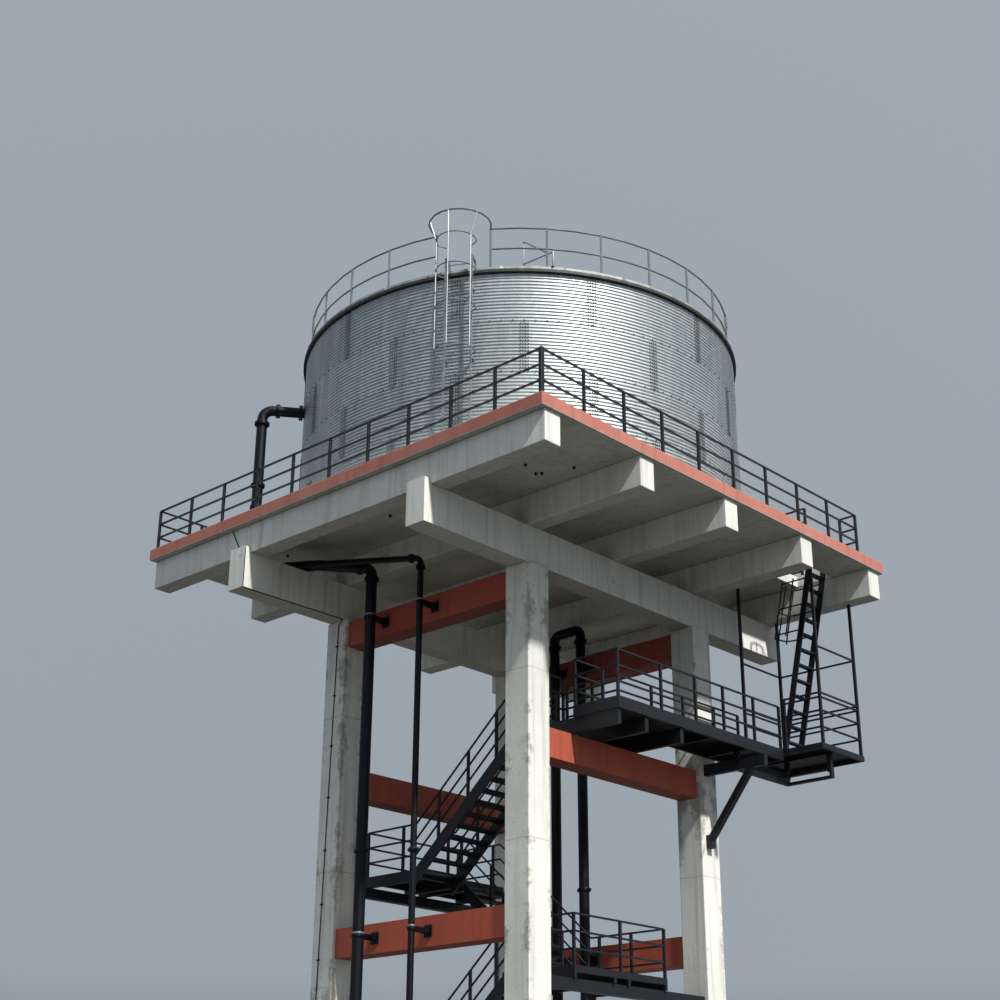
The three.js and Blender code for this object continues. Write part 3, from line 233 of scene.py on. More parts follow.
def relief(tree, shader, height, distance, strength):
    """Gives the finish a fine relief."""
    bump = add(tree, "ShaderNodeBump", {
        "Height": height, "Distance": distance, "Strength": strength})
    tree.links.new(bump.outputs[0], shader.inputs["Normal"])


def weathered(tree, place, base, streak, blotch):
    """Base colour with rain streaks down it and large soft blotches."""
    clouds = noise(tree, place, 0.9, 7.0, 0.6)
    runs = noise(tree, stretched(tree, place, 5.0, 0.22), 1.6, 6.0, 0.62)
    colour = blend(tree, spread(tree, clouds, 0.42, 0.75, 0.0, 0.8), base, blotch)
    return blend(tree, spread(tree, runs, 0.5, 0.78, 0.0, 0.75), colour, streak)


def bare_concrete(tree, place):
    """Colour of rain-streaked cement."""
    return weathered(tree, place, list(colours().concrete), linear(0x9C9D97), linear(0xC1C1BA))


def cast_surface(tree, place, shader, colour, soffit_shade_colour=0x48473F):
    """Aggregate grain, trowel swells, air holes, scuffed patches, and painted shade that darkens
    the faces looking down, such as soffits.
    """
    grain = noise(tree, place, 55.0, 4.0)
    swell = noise(tree, place, 3.5, 3.0)
    cells = add(tree, "ShaderNodeTexVoronoi", {"Vector": place, "Scale": 8.0})
    hole_size = maths(tree, "MULTIPLY_ADD", swell, 0.12, -0.02)
    hole = maths(tree, "LESS_THAN", cells.outputs["Distance"], hole_size)
    scuff = spread(tree, noise(tree, place, 1.7, 11.0, 0.74), 0.63, 0.72, 0.0, 0.45)
    # Painted shade: faces that look down are blended towards a dark shade colour, standing in for
    # the shade under soffits
    under = spread(tree, facing_up(tree), -0.5, -0.95, 0.0, 0.62)
    speckle = spread(tree, grain, 0.3, 0.7, 0.86, 1.06)
    speckled = blend(tree, 1.0, colour, speckle, "MULTIPLY")
    scuffed = blend(tree, scuff, speckled, linear(0x6B6C66))
    painted_soffit_shade = blend(tree, under, scuffed, linear(soffit_shade_colour))
    paint(tree, shader, blend(tree, hole, painted_soffit_shade, linear(0x77746A)))
    height = maths(tree, "ADD", maths(tree, "MULTIPLY", grain, 0.35), swell)
    relief(tree, shader, maths(tree, "SUBTRACT", height, hole), 0.006, 0.6)


def pour_lines(tree, place, colour):
    """Thin stained joints where one pour of a column met the next."""
    wander = noise(tree, place, 4.0, 3.0)
    level = maths(tree, "MULTIPLY_ADD", wander, 0.05, split(tree, place)[2])
    lift = maths(tree, "MODULO", maths(tree, "ADD", level, POUR_SHIFT), POUR_HEIGHT)
    line = spread(tree, lift, 0.0, 0.03, 0.6, 0.0)
    return blend(tree, line, colour, linear(0x8A867A))


def chipped_arrises(tree, place, colour):
    """Knocked and scraped cement near the upright arrises of the columns, in patches."""
    away = vector_maths(tree, "ABSOLUTE", place)[0]
    for step in (COLUMN_CENTRE, COLUMN_HALF):
        moved = vector_maths(tree, "SUBTRACT", away, step)[0]
        away = vector_maths(tree, "ABSOLUTE", moved)[0]
    flat = vector_maths(tree, "MULTIPLY", away, (1, 1, 0))[0]
    reach = vector_maths(tree, "LENGTH", flat)["Value"]
    near = spread(tree, reach, 0.0, 0.24, 0.2, -0.03)
    patches = noise(tree, place, 0.8, 2.0)
    fine = noise(tree, place, 6.0, 12.0, 0.78)
    broken = maths(tree, "MULTIPLY_ADD", patches, 0.9, fine)
    chip = spread(tree, maths(tree, "ADD", broken, near), 1.13, 1.25, 0.0, 0.7)
    return blend(tree, chip, colour, linear(0x7A7A72))


def column_concrete():
    """Columns cast in lifts between forms: pour joints, rain streaks and knocked arrises."""
    material, tree, shader, place = new_finish("column_concrete", 0.0, 0.9)
    jointed = pour_lines(tree, place, bare_concrete(tree, place))
    cast_surface(tree, place, shader, chipped_arrises(tree, place, jointed))
    return material


def cast_concrete():
    """Cement concrete cast in plywood forms: matt, pale, with rain streaks and algae grey."""
    material, tree, shader, place = new_finish("cast_concrete", 0.0, 0.9)
    cast_surface(tree, place, shader, bare_concrete(tree, place))
    return material


def painted_tie():
    """Red wall paint rolled on concrete: matt, sun-bleached, chalky in the runs."""
    material, tree, shader, place = new_finish("red_masonry_paint", 0.0, 0.75)
    worn = weathered(tree, place, list(colours().ties), linear(0x7A3626), linear(0xAB5A44))
    # The dark red passed here is the painted shade on the undersides of the ties
    cast_surface(tree, place, shader, worn, soffit_shade_colour=0x32110C)
    return material


def slab_concrete():
    """The cast deck: bare on its faces, with faded salmon paint on its outer edge."""
    material, tree, shader, place = new_finish("deck_slab_concrete", 0.0, 0.88)
    bare = weathered(tree, place, list(colours().concrete), linear(0x8E8E88), linear(0xB6B6AF))
    coat = weathered(tree, place, list(colours().deck_edge), linear(0x865448), linear(0xB97F72))
    away = split(tree, vector_maths(tree, "ABSOLUTE", place)[0])
    reach = maths(tree, "MAXIMUM", away[0], away[1])
    outside = maths(tree, "GREATER_THAN", reach, DECK_HALF - 0.02)
    above = maths(tree, "GREATER_THAN", away[2], SLAB_BOTTOM + 0.012)
    edge = maths(tree, "MULTIPLY", outside, above)
    cast_surface(tree, place, shader, blend(tree, edge, bare, coat))
    return material


def zinc_bloom(tree, place, base, dark, pale):
    """Cloudy tone of weathered zinc with pale spots, and the runs that it follows."""
    runs = noise(tree, stretched(tree, place, 3.2, 0.3), 2.2, 6.0, 0.7)
    spots = noise(tree, place, 9.0, 5.0)
    cloudy = blend(tree, spread(tree, runs, 0.35, 0.72), base, dark)
    return blend(tree, spread(tree, spots, 0.52, 0.75, 0.0, 0.5), cloudy, pale), runs


def galvanised_wall():
    """Hot-dipped corrugated sheet: satin zinc, each sheet a slightly different tone."""
    material, tree, shader, place = new_finish("galvanised_corrugated_sheet", 0.72, 0.4)
    s = sizes()
    tone, runs = zinc_bloom(tree, place, list(colours().sheet), linear(0x9AA3A7),
                            linear(0xD2D6D6))
    course_height = s.course_waves * (TANK_TOP - TANK_FOOT) / s.waves
    drop = maths(tree, "SUBTRACT", TANK_TOP, split(tree, place)[2])
    row = maths(tree, "FLOOR", maths(tree, "DIVIDE", drop, course_height))
    above_zero = 50
    turn = maths(tree, "MULTIPLY_ADD", angle_round(tree, place), s.sheets / math.tau,
                 above_zero - s.sheets * SEAM_ANGLE / 360)
    shifted = maths(tree, "MULTIPLY_ADD", row, 0.5, turn)
    cell = add(tree, "ShaderNodeCombineXYZ", {0: maths(tree, "FLOOR", shifted), 1: row})
    each = add(tree, "ShaderNodeTexWhiteNoise", {"Vector": cell.outputs[0]},
               noise_dimensions="2D")
    lightness = spread(tree, each.outputs["Value"], 0.0, 1.0, 0.9, 1.04)
    toned = blend(tree, 1.0, tone, lightness, "MULTIPLY")
    lap = spread(tree, maths(tree, "FRACT", shifted), 0.0, 0.035, 0.3, 0.0)
    paint(tree, shader, blend(tree, lap, toned, linear(0x565E62)))
    rough = spread(tree, runs, 0.0, 1.0, 0.34, 0.5)
    tree.links.new(rough, shader.inputs["Roughness"])
    return material


def galvanised_tube():
    """Dipped steel tube and flat bar: dull pale zinc, a little uneven."""
    material, tree, shader, place = new_finish("galvanised_tube", 0.65, 0.45)
    tone, runs = zinc_bloom(tree, place, linear(0x868D8F), linear(0x6C7477), linear(0xA0A4A3))
    paint(tree, shader, tone)
    relief(tree, shader, runs, 0.001, 0.3)
    return material


def galvanised_roof():
    """Flat zinc roof sheets with a standing rib every 15 degrees, pale with dried dust."""
    material, tree, shader, place = new_finish("galvanised_roof_sheet", 0.35, 0.6)
    tone, _ = zinc_bloom(tree, place, linear(0x9A9E9A), linear(0x7C817E), linear(0xB2B4AE))
    turn = maths(tree, "MULTIPLY_ADD", angle_round(tree, place), ROOF_RIBS / math.tau,
                 ROOF_RIBS + 0.5)
    rib = spread(tree, maths(tree, "FRACT", turn), 0.0, 0.06, 1.0, 0.0,
                 interpolation_type="SMOOTHSTEP")
    paint(tree, shader, blend(tree, rib, tone, linear(0x8F938D)))
    relief(tree, shader, rib, 0.03, 0.8)
    return material


def dark_angle():
    """Weathered steel angle under the roof edge: dull, grimy grey-green."""
    material, tree, shader, place = new_finish("weathered_angle_steel", 0.4, 0.6)
    tone, _ = zinc_bloom(tree, place, linear(0x363C3B), linear(0x262B2B), linear(0x565C58))
    paint(tree, shader, tone)
    return material


def coated_steel(name, base, roughness, gloss):
    """Brushed-on enamel over steel: dark satin, dust on top faces, a few rust freckles."""
    material, tree, shader, place = new_finish(name, 0.0, roughness)
    shader.inputs["Specular IOR Level"].default_value = gloss
    dust = noise(tree, place, 6.0, 6.0)
    specks = noise(tree, place, 38.0, 3.0)
    top = spread(tree, facing_up(tree), 0.3, 1.0, 0.0, 0.2)
    coat = blend(tree, dust, base, [c * 1.5 for c in base[:3]] + [1.0])
    settled = blend(tree, maths(tree, "MULTIPLY", top, dust), coat, linear(0x6E6F6A))
    rust = spread(tree, specks, 0.68, 0.76, 0.0, 0.6)
    paint(tree, shader, blend(tree, rust, settled, linear(0x5A3524)))
    relief(tree, shader, specks, 0.001, 0.25)
    return material


def pale_floor():
    """Plain matt studio floor."""
    material, tree, shader, place = new_finish("studio_floor", 0.0, 0.9)
    cloud = noise(tree, place, 0.4, 2.0)
    paint(tree, shader, blend(tree, cloud, linear(0x888884), linear(0x90908C)))
    return material


MADE = {}


def finish(maker, *values):
    """The material of a maker, made once."""
    key = (maker.__name__, *values[:1])
    if key not in MADE:
        MADE[key] = maker(*values)
    return MADE[key]


def steelwork():
    """Dark enamel of the stairs, rails and ladders."""
    return finish(coated_steel, "blue_black_enamel", list(colours().steel), 0.5, 0.4)


def pipe_coat():
    """Darker and duller coat of the pipes."""
    return finish(coated_steel, "black_bitumen_paint", linear(0x05080F), 0.45, 0.2)


def nothing_selected():
    """Leaves edit mode and clears the selection."""
    if bpy.context.object and bpy.context.object.mode != "OBJECT":
        bpy.ops.object.mode_set(mode="OBJECT")
    bpy.ops.object.select_all(action="DESELECT")


def edit_all():
    """Opens the active piece for editing, all of it selected."""
    bpy.ops.object.mode_set(mode="EDIT")
    bpy.ops.mesh.select_all(action="SELECT")


def apply_array(count, step):
    """Repeats the active piece at a constant step."""
    piece = bpy.context.object
    bpy.ops.object.modifier_add(type="ARRAY")
    array = piece.modifiers[-1]
    array.count = count
    array.use_relative_offset = False
    array.use_constant_offset = True
    array.constant_offset_displace = step
    array.use_merge_vertices = True
    array.merge_threshold = 0.0004
    bpy.ops.object.modifier_apply(modifier=array.name)


def apply_bevel(width, segments=2):
    """Rounds the sharp edges of the active piece."""
    piece = bpy.context.object
    bpy.ops.object.modifier_add(type="BEVEL")
    bevel = piece.modifiers[-1]
    bevel.width = width
    bevel.segments = segments
    bevel.limit_method = "ANGLE"
    bpy.ops.object.modifier_apply(modifier=bevel.name)


def spin_copies(count, axis=(0, 0, 1), centre=(0, 0, 0)):
    """Copies of all of the active piece round an axis, the first one included."""
    edit_all()
    bpy.ops.mesh.spin(steps=count - 1, dupli=True, angle=math.tau * (count - 1) / count,
                      center=centre, axis=axis)
    bpy.ops.object.mode_set(mode="OBJECT")


def joined(pieces):
    """One object of several, its own vertices merged."""
    nothing_selected()
    for piece in pieces:
        piece.select_set(True)
    bpy.context.view_layer.objects.active = pieces[0]
    if len(pieces) > 1:
        bpy.ops.object.join()
    return bpy.context.object


def settle(piece, name, material, slot, *replaced, smooth=35):
    """Puts the place into the mesh, shades, names, paints and hangs the piece on the model."""
    nothing_selected()
    piece.select_set(True)
    bpy.context.view_layer.objects.active = piece
    bpy.ops.object.transform_apply(location=True, rotation=True, scale=True)
    bpy.ops.object.shade_smooth_by_angle(angle=math.radians(smooth))
    piece.name = name
    piece.data.name = name
    piece.data.materials.clear()
    piece.data.materials.append(material)
    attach(piece, "root")
    if replaced:
        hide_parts(*replaced)
    return piece


def ring(profile):
    """A ring turned round the tank's axis from a closed profile of radius and height."""
    nothing_selected()
    radius, height = profile[0]
    bpy.ops.mesh.primitive_circle_add(vertices=TANK_SIDES, radius=radius,
                                      location=(0, 0, height))
    edit_all()
    for (r0, z0), (r1, z1) in zip(profile, [*profile[1:], profile[0]]):
        bpy.ops.mesh.extrude_region_move(TRANSFORM_OT_translate={"value": (0, 0, z1 - z0)})
        bpy.ops.transform.resize(value=(r1 / r0, r1 / r0, 1), center_override=(0, 0, z1))
    bpy.ops.mesh.select_all(action="SELECT")
    bpy.ops.mesh.remove_doubles(threshold=0.0002)
    bpy.ops.mesh.normals_make_consistent(inside=False)
    bpy.ops.object.mode_set(mode="OBJECT")
    bpy.ops.object.transform_apply(location=True, rotation=True, scale=True)
    return bpy.context.object


def turned_to(direction):
    """The turn that brings the z axis onto a direction."""
    return Vector(direction).to_track_quat("Z", "Y").to_euler()


def round_bar(start, end, radius, sides=8, bevel=0.0):
    """Round bar or disc between two points, with softened rims."""
    nothing_selected()
    a, b = Vector(start), Vector(end)
    bpy.ops.mesh.primitive_cylinder_add(
        vertices=sides, radius=radius, depth=(b - a).length, location=(a + b) / 2,
        rotation=turned_to(b - a))
    if bevel:
        apply_bevel(bevel)
    bpy.ops.object.transform_apply(location=True, rotation=True, scale=True)
    return bpy.context.object


def block(low, high, bevel=0.004):
    """Plate or block between two corners, with worn edges."""
    nothing_selected()
    a, b = Vector(low), Vector(high)
    bpy.ops.mesh.primitive_cube_add(size=1, location=(a + b) / 2, scale=b - a)
    bpy.ops.object.transform_apply(location=True, rotation=True, scale=True)
    apply_bevel(bevel, 1)
    return bpy.context.object


def pipe_run(points, radius, bend, sides=24):
    """Pipe drawn from a circle: extruded along each straight and spun round each bend."""
    nothing_selected()
    corners = [Vector(p) for p in points]
    way = (corners[1] - corners[0]).normalized()
    bpy.ops.mesh.primitive_circle_add(vertices=sides, radius=radius, location=corners[0],
                                      rotation=turned_to(way))
    bpy.ops.object.transform_apply(location=True, rotation=True, scale=True)
    edit_all()
    here = corners[0]
    for k in range(1, len(corners)):
        way = (corners[k] - corners[k - 1]).normalized()
        last = k == len(corners) - 1
        onward = way if last else (corners[k + 1] - corners[k]).normalized()
        turn = way.angle(onward)
        cut = 0 if last else bend * math.tan(turn / 2)
        stop = corners[k] - way * cut
        bpy.ops.mesh.extrude_region_move(TRANSFORM_OT_translate={"value": stop - here})
        here = stop
        if not last:
            axis = way.cross(onward).normalized()
            centre = stop + axis.cross(way) * bend
            bpy.ops.mesh.spin(steps=8, angle=-turn, center=centre, axis=axis)
            here = corners[k] + onward * cut
    bpy.ops.mesh.select_all(action="SELECT")
    bpy.ops.mesh.remove_doubles(threshold=0.0002)
    bpy.ops.mesh.select_all(action="DESELECT")
    bpy.ops.mesh.select_non_manifold(extend=False)
    bpy.ops.mesh.fill_holes(sides=0)
    bpy.ops.mesh.select_all(action="SELECT")
    bpy.ops.mesh.normals_make_consistent(inside=False)
    bpy.ops.object.mode_set(mode="OBJECT")
    return bpy.context.object


def coupling(x, y, z, radius):
    """Split coupling on an upright pipe: a grooved housing with a bolted lug on each side."""
    housing = round_bar((x, y, z - 0.036), (x, y, z + 0.036), radius + 0.022, 24, 0.008)
    made = [housing]
    for side in (-1, 1):
        end = x + side * (radius + 0.05)
        made.append(block((min(x, end), y - 0.03, z - 0.026), (max(x, end), y + 0.03, z + 0.026)))
        at = x + side * (radius + 0.035)
        made.append(round_bar((at, y - 0.05, z), (at, y + 0.05, z), 0.011, 6, 0.002))
    return made


def flange(centre, direction, radius, reach=0.055):
    """Pair of bolted flanges across a pipe, that stand out from it by a reach."""
    way = Vector(direction).normalized()
    at = Vector(centre)
    made = []
    for side in (-1, 1):
        near, far = at + way * side * 0.004, at + way * side * 0.028
        made.append(round_bar(near, far, radius + reach, 24, 0.004))
    first = at + way.orthogonal().normalized() * (radius + reach * 0.55)
    bolt = round_bar(first - way * 0.045, first + way * 0.045, 0.01, 6, 0.002)
    spin_copies(8, axis=way, centre=at)
    return [*made, bolt]


def wall_clamp(x, y, z, radius, face):
    """Two-piece clamp round a riser, on a bracket that stands on the tie beam."""
    toward = 1 if face > y else -1
    band = round_bar((x, y, z - 0.028), (x, y, z + 0.028), radius + 0.015, 24, 0.004)
    stem = block((x - 0.045, min(y, face), z - 0.045), (x + 0.045, max(y, face), z + 0.045))
    front = face - toward * 0.02
    plate = block((x - 0.09, min(face, front), z - 0.1), (x + 0.09, max(face, front), z + 0.1))
    bolts = []
    for dx in (-0.065, 0.065):
        for dz in (-0.075, 0.075):
            start = (x + dx, face - toward * 0.018, z + dz)
            end = (x + dx, face - toward * 0.036, z + dz)
            bolts.append(round_bar(start, end, 0.01, 6, 0.002))
    return [band, stem, plate, *bolts]


def main_riser(radius):
    """The thick riser: out of the slab, slanting under the joists, then down to the ground."""
    under_slab = 12.19
    made = [pipe_run([(OUTLET_X, OUTLET_Y, 12.6297), (OUTLET_X, OUTLET_Y, under_slab),
                      (-1.9, -3.43, under_slab), (MAIN_X, RISER_Y, 12.05),
                      (MAIN_X, RISER_Y, 0.0)], radius, 0.17)]
    made += coupling(MAIN_X, RISER_Y, 6.91, radius)
    made += flange((MAIN_X, RISER_Y, 11.84), (0, 0, 1), radius, 0.035)
    made += flange((-1.2, -3.018, 12.081), (0.9, 0.53, -0.14), radius, 0.03)
    for z in CLAMP_LEVELS:
        made += wall_clamp(MAIN_X, RISER_Y, z, radius, TIE_FACE)
    return made


def branch_riser(radius):
    """The thin riser: out of the thick one's slant and down to the ground."""
    made = [pipe_run([(-2.9, -4.0536, 12.14), (-2.0, -3.72, 12.14),
                      (BRANCH_X, RISER_Y, 11.93), (BRANCH_X, RISER_Y, 0.0)], radius, 0.12)]
    made += coupling(BRANCH_X, RISER_Y, 6.78, radius)
    made += flange((BRANCH_X, RISER_Y, 11.76), (0, 0, 1), radius, 0.03)
    made += flange((0.1, -2.961, 11.946), (2.27, 0.82, -0.21), radius, 0.03)
    for z in CLAMP_LEVELS:
        made += wall_clamp(BRANCH_X, RISER_Y, z, radius, TIE_FACE)
    return made


def back_loop(radius):
    """The pair of pipes at the back that meet in a bow under the deck."""
    pipe = radius - 0.003
    top = 11.85
    made = [pipe_run([(LOOP_LEFT, LOOP_Y, 0.0), (LOOP_LEFT, LOOP_Y, top),
                      (LOOP_RIGHT, LOOP_Y, top), (LOOP_RIGHT, LOOP_Y, 0.0)], pipe, 0.14)]
    for x, z in ((LOOP_RIGHT, 6.76), (LOOP_RIGHT, 11.6), (LOOP_LEFT, 11.6)):
        made += coupling(x, LOOP_Y, z, pipe)
    for z in CLAMP_LEVELS:
        for x in (LOOP_LEFT, LOOP_RIGHT):
            made += wall_clamp(x, LOOP_Y, z, radius, BACK_TIE_FACE)
    return made


def tank_outlet(radius):
    """The outlet: out of the tank's wall, round a bend and down through the deck."""
    out = Vector((math.cos(math.radians(OUTLET_ANGLE)), math.sin(math.radians(OUTLET_ANGLE)), 0))
    wall = out * (TANK_RADIUS + 0.001) + Vector((0, 0, OUTLET_LEVEL))
    bend = Vector((OUTLET_X, OUTLET_Y, OUTLET_LEVEL))
    way = (bend - wall).normalized()
    made = [pipe_run([wall, bend, (OUTLET_X, OUTLET_Y, 12.8503)], radius, 0.2)]
    made += flange(wall + way * 0.06, way, radius)
    made += flange(wall + way * 0.5, way, radius, 0.04)
    for z, reach in ((15.2, 0.045), (13.9, 0.035), (12.9, 0.05)):
        made += flange((OUTLET_X, OUTLET_Y, z), (0, 0, 1), radius, reach)
    made += coupling(OUTLET_X, OUTLET_Y, 13.45, radius)
    return made


def zinc_straps(risers):
    """A thin band round each riser, just above each of its clamps."""
    made = []
    for z in CLAMP_LEVELS:
        for x, radius in risers:
            made.append(round_bar((x, RISER_Y, z + 0.026), (x, RISER_Y, z + 0.058),
                                  radius + 0.01, 24, 0.003))
    return made


class WATERTANK_OT_finishes(Operator):
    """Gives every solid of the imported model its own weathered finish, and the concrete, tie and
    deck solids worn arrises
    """

    bl_idname = "water_tank.finishes"
    bl_label = "Finishes"

    def execute(self, context):
        for name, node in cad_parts.items():
            if name.startswith("column"):
                material = finish(column_concrete)
            elif name.startswith(CONCRETE_NODES):
                material = finish(cast_concrete)
            elif name.startswith(TIE_NODES):
                material = finish(painted_tie)
            elif name == "deck_slab":
                material = finish(slab_concrete)
            elif name == "tank_roof":
                material = finish(galvanised_roof)
            elif name.startswith(TUBE_NODES):
                material = finish(galvanised_tube)
            elif name.startswith(("tank_wall", "tank_floor")):
                material = finish(galvanised_wall)
            elif name.startswith(("outlet", "pipe")):
                material = pipe_coat()
            else:
                material = steelwork()
            node.data.materials.clear()
            node.data.materials.append(material)
            if name.startswith(CONCRETE_NODES + TIE_NODES) or name == "deck_slab":
                node.modifiers.new("shared_corners", "WELD").merge_threshold = 0.0005
                worn = node.modifiers.new("worn_arris", "BEVEL")
                worn.width = 0.014
                worn.segments = 2
                worn.limit_method = "ANGLE"
        return {"FINISHED"}


class WATERTANK_OT_sheet_wall(Operator):
    """Builds the corrugated wall from one wave that is repeated up the tank"""

    bl_idname = "water_tank.sheet_wall"
    bl_label = "Corrugated wall"

    def execute(self, context):
        s = sizes()
        nothing_selected()
        pitch = (TANK_TOP - TANK_FOOT) / s.waves
        depth = s.wave_depth / 2
        steps = 6
        radii = [TANK_RADIUS - depth + depth * math.cos(math.tau * k / steps)
                 for k in range(steps + 1)]
        bpy.ops.mesh.primitive_circle_add(vertices=TANK_SIDES, radius=radii[0],
                                          location=(0, 0, TANK_FOOT))
        wall = context.object
        edit_all()
        for before, after in zip(radii, radii[1:]):
            bpy.ops.mesh.extrude_region_move(
                TRANSFORM_OT_translate={"value": (0, 0, pitch / steps)})
            bpy.ops.transform.resize(value=(after / before, after / before, 1),
                                     center_override=(0, 0, 0))
        bpy.ops.object.mode_set(mode="OBJECT")
        apply_array(s.waves, (0, 0, pitch))
        edit_all()
        bpy.ops.mesh.normals_make_consistent(inside=False)
        bpy.ops.object.mode_set(mode="OBJECT")
        bpy.ops.object.modifier_add(type="SOLIDIFY")
        gauge = wall.modifiers[-1]
        gauge.thickness = 0.006
        gauge.offset = -1
        bpy.ops.object.modifier_apply(modifier=gauge.name)
        walls = [f"tank_wall_{k}" for k in range(1, 5)]
        settle(wall, "tank_sheet_wall", finish(galvanised_wall), "corrugated_zinc", *walls,
               smooth=60)
        return {"FINISHED"}


class WATERTANK_OT_wall_bolts(Operator):
    """Bolts the staggered sheet laps: four columns at each end lap and a row at each course"""

    bl_idname = "water_tank.wall_bolts"
    bl_label = "Sheet bolts"

    def execute(self, context):
        s = sizes()
        pitch = (TANK_TOP - TANK_FOOT) / s.waves
        sunk, height, spacing, bolts_per_sheet = 0.006, 0.012, 0.046, 12
        bolts = []
        for course in range(4):
            top = TANK_TOP - course * s.course_waves * pitch
            rows = min(s.course_waves, s.waves - course * s.course_waves)
            angle = math.radians(SEAM_ANGLE - course % 2 * 180 / s.sheets)
            out = Vector((math.cos(angle), math.sin(angle), 0))
            side = Vector((-out.y, out.x, 0)) * spacing
            face = out * (TANK_RADIUS - sunk)
            for place in (-1.5, -0.5, 0.5, 1.5):
                foot = face + side * place + Vector((0, 0, top - pitch))
                round_bar(foot, foot + out * height, s.bolt_radius, 6)
                apply_array(rows, (0, 0, -pitch))
                spin_copies(s.sheets)
                bolts.append(context.object)
            if course:
                foot = face + Vector((0, 0, top))
                round_bar(foot, foot + out * height, s.bolt_radius, 6)
                spin_copies(s.sheets * bolts_per_sheet)
                bolts.append(context.object)
        settle(joined(bolts), "tank_wall_bolts", finish(dark_angle), "pale_zinc")
        return {"FINISHED"}


class WATERTANK_OT_wall_angles(Operator):
    """Rolls the rim angle under the roof edge and the foot angle on the deck"""

    bl_idname = "water_tank.wall_angles"
    bl_label = "Rim and foot angles"

    def execute(self, context):
        inner = TANK_RADIUS - 0.004
        outer, gauge, low, high = 4.337, 0.0065, 16.61, 16.665
        under = 16.648
        rim = ring([(inner, low), (outer, low), (outer, high), (outer - gauge, high),
                    (outer - gauge, under), (inner, under)])
        settle(rim, "tank_rim_angle", finish(dark_angle), "corrugated_zinc")
        upright, toe, bottom, top = 4.29, 4.348, 12.851, 12.861
        foot = ring([(inner, bottom), (toe, bottom), (toe, top), (upright, top),
                     (upright, 12.93), (inner, 12.93)])
        bolt = round_bar((4.32, 0, 12.86), (4.32, 0, 12.885), 0.014, 6, 0.003)
        spin_copies(66)
        settle(joined([foot, bolt]), "tank_foot_angle", finish(galvanised_tube),
               "corrugated_zinc")
        return {"FINISHED"}


class WATERTANK_OT_pipework(Operator):
    """Builds the risers, the loop and the outlet with their bends, couplings and clamps"""

    bl_idname = "water_tank.pipework"
    bl_label = "Pipework"

    def execute(self, context):
        s = sizes()
        coat = pipe_coat()
        for maker, radius, name in (
                (main_riser, s.main_pipe, "pipe_main"),
                (branch_riser, s.branch_pipe, "pipe_branch"),
                (back_loop, s.main_pipe, "pipe_loop")):
            settle(joined(maker(radius)), f"{name}_run", coat, "black_pipe", name)
        straps = zinc_straps(((MAIN_X, s.main_pipe), (BRANCH_X, s.branch_pipe)))
        settle(joined(straps), "riser_straps", finish(galvanised_tube), "pale_zinc")
        settle(joined(tank_outlet(s.main_pipe)), "outlet_pipe_run", coat, "black_pipe",
               "outlet_pipe")
        return {"FINISHED"}


class WATERTANK_OT_rail_feet(Operator):
    """Stands every post of the deck railing on a bolted foot plate"""

    bl_idname = "water_tank.rail_feet"
    bl_label = "Railing feet"

    def execute(self, context):
        front_step, right_step, back_step = 0.98, 1.0156, 1.0175
        plate, bolt_place, post_half = 0.06, 0.042, 0.035
        rows = (
            ((-RAIL_LINE, -RAIL_LINE), (front_step, 0, 0), 11),
            ((-RAIL_LINE, -RAIL_LINE + front_step), (0, front_step, 0), 10),
            ((-RAIL_LINE + back_step, RAIL_LINE), (back_step, 0, 0), 8),
            ((RAIL_LINE, -RAIL_LINE + right_step), (0, right_step, 0), 9),
        )
        made = []
        for (x, y), step, count in rows:
            parts = [block((x - plate, y - plate, DECK), (x + plate, y + plate, DECK + 0.01),
                           0.002)]
            for dx in (-bolt_place, bolt_place):
                for dy in (-bolt_place, bolt_place):
                    foot = (x + dx, y + dy, DECK + 0.009)
                    parts.append(round_bar(foot, (*foot[:2], DECK + 0.024), 0.009, 6))
            joined(parts)
            apply_array(count, step)
            made.append(context.object)
        near = (RAIL_LINE - post_half, -RAIL_LINE - post_half, DECK + 0.008)
        far = (RAIL_LINE + post_half, -RAIL_LINE + post_half, DECK + 0.822)
        settle(joined([*made, block(near, far, 0.006)]), "deck_rail_feet", steelwork(),
               "black_steel")
        return {"FINISHED"}


class WATERTANK_OT_earthing(Operator):
    """Runs the thin earthing cable down the front left column, held by saddles"""

    bl_idname = "water_tank.earthing"
    bl_label = "Earthing run"

    def execute(self, context):
        bend_top, bend_x, foot_x, line = 11.3, -2.22, -2.46, -2.581
        route = [(-2.62, -4.881, 12.63), (-2.37, -4.881, 12.2), (-2.07, -4.989, 12.172),
                 (-2.061, -4.991, 12.12), (-2.061, -4.991, 11.392), (-2.068, -4.95, 11.389),
                 (-2.068, -2.62, 11.389), (bend_x, line, bend_top), (foot_x, line, 0.002)]
        made = [pipe_run(route, 0.009, 0.02, 8)]
        saddles, highest, spacing = 12, 10.9, 0.94
        for k in range(saddles):
            z = highest - spacing * k
            x = bend_x + (foot_x - bend_x) * (bend_top - z) / bend_top
            made.append(block((x - 0.035, -2.6, z - 0.012), (x + 0.035, -2.5705, z + 0.012)))
        settle(joined(made), "earthing_run", steelwork(), "black_steel")
        return {"FINISHED"}


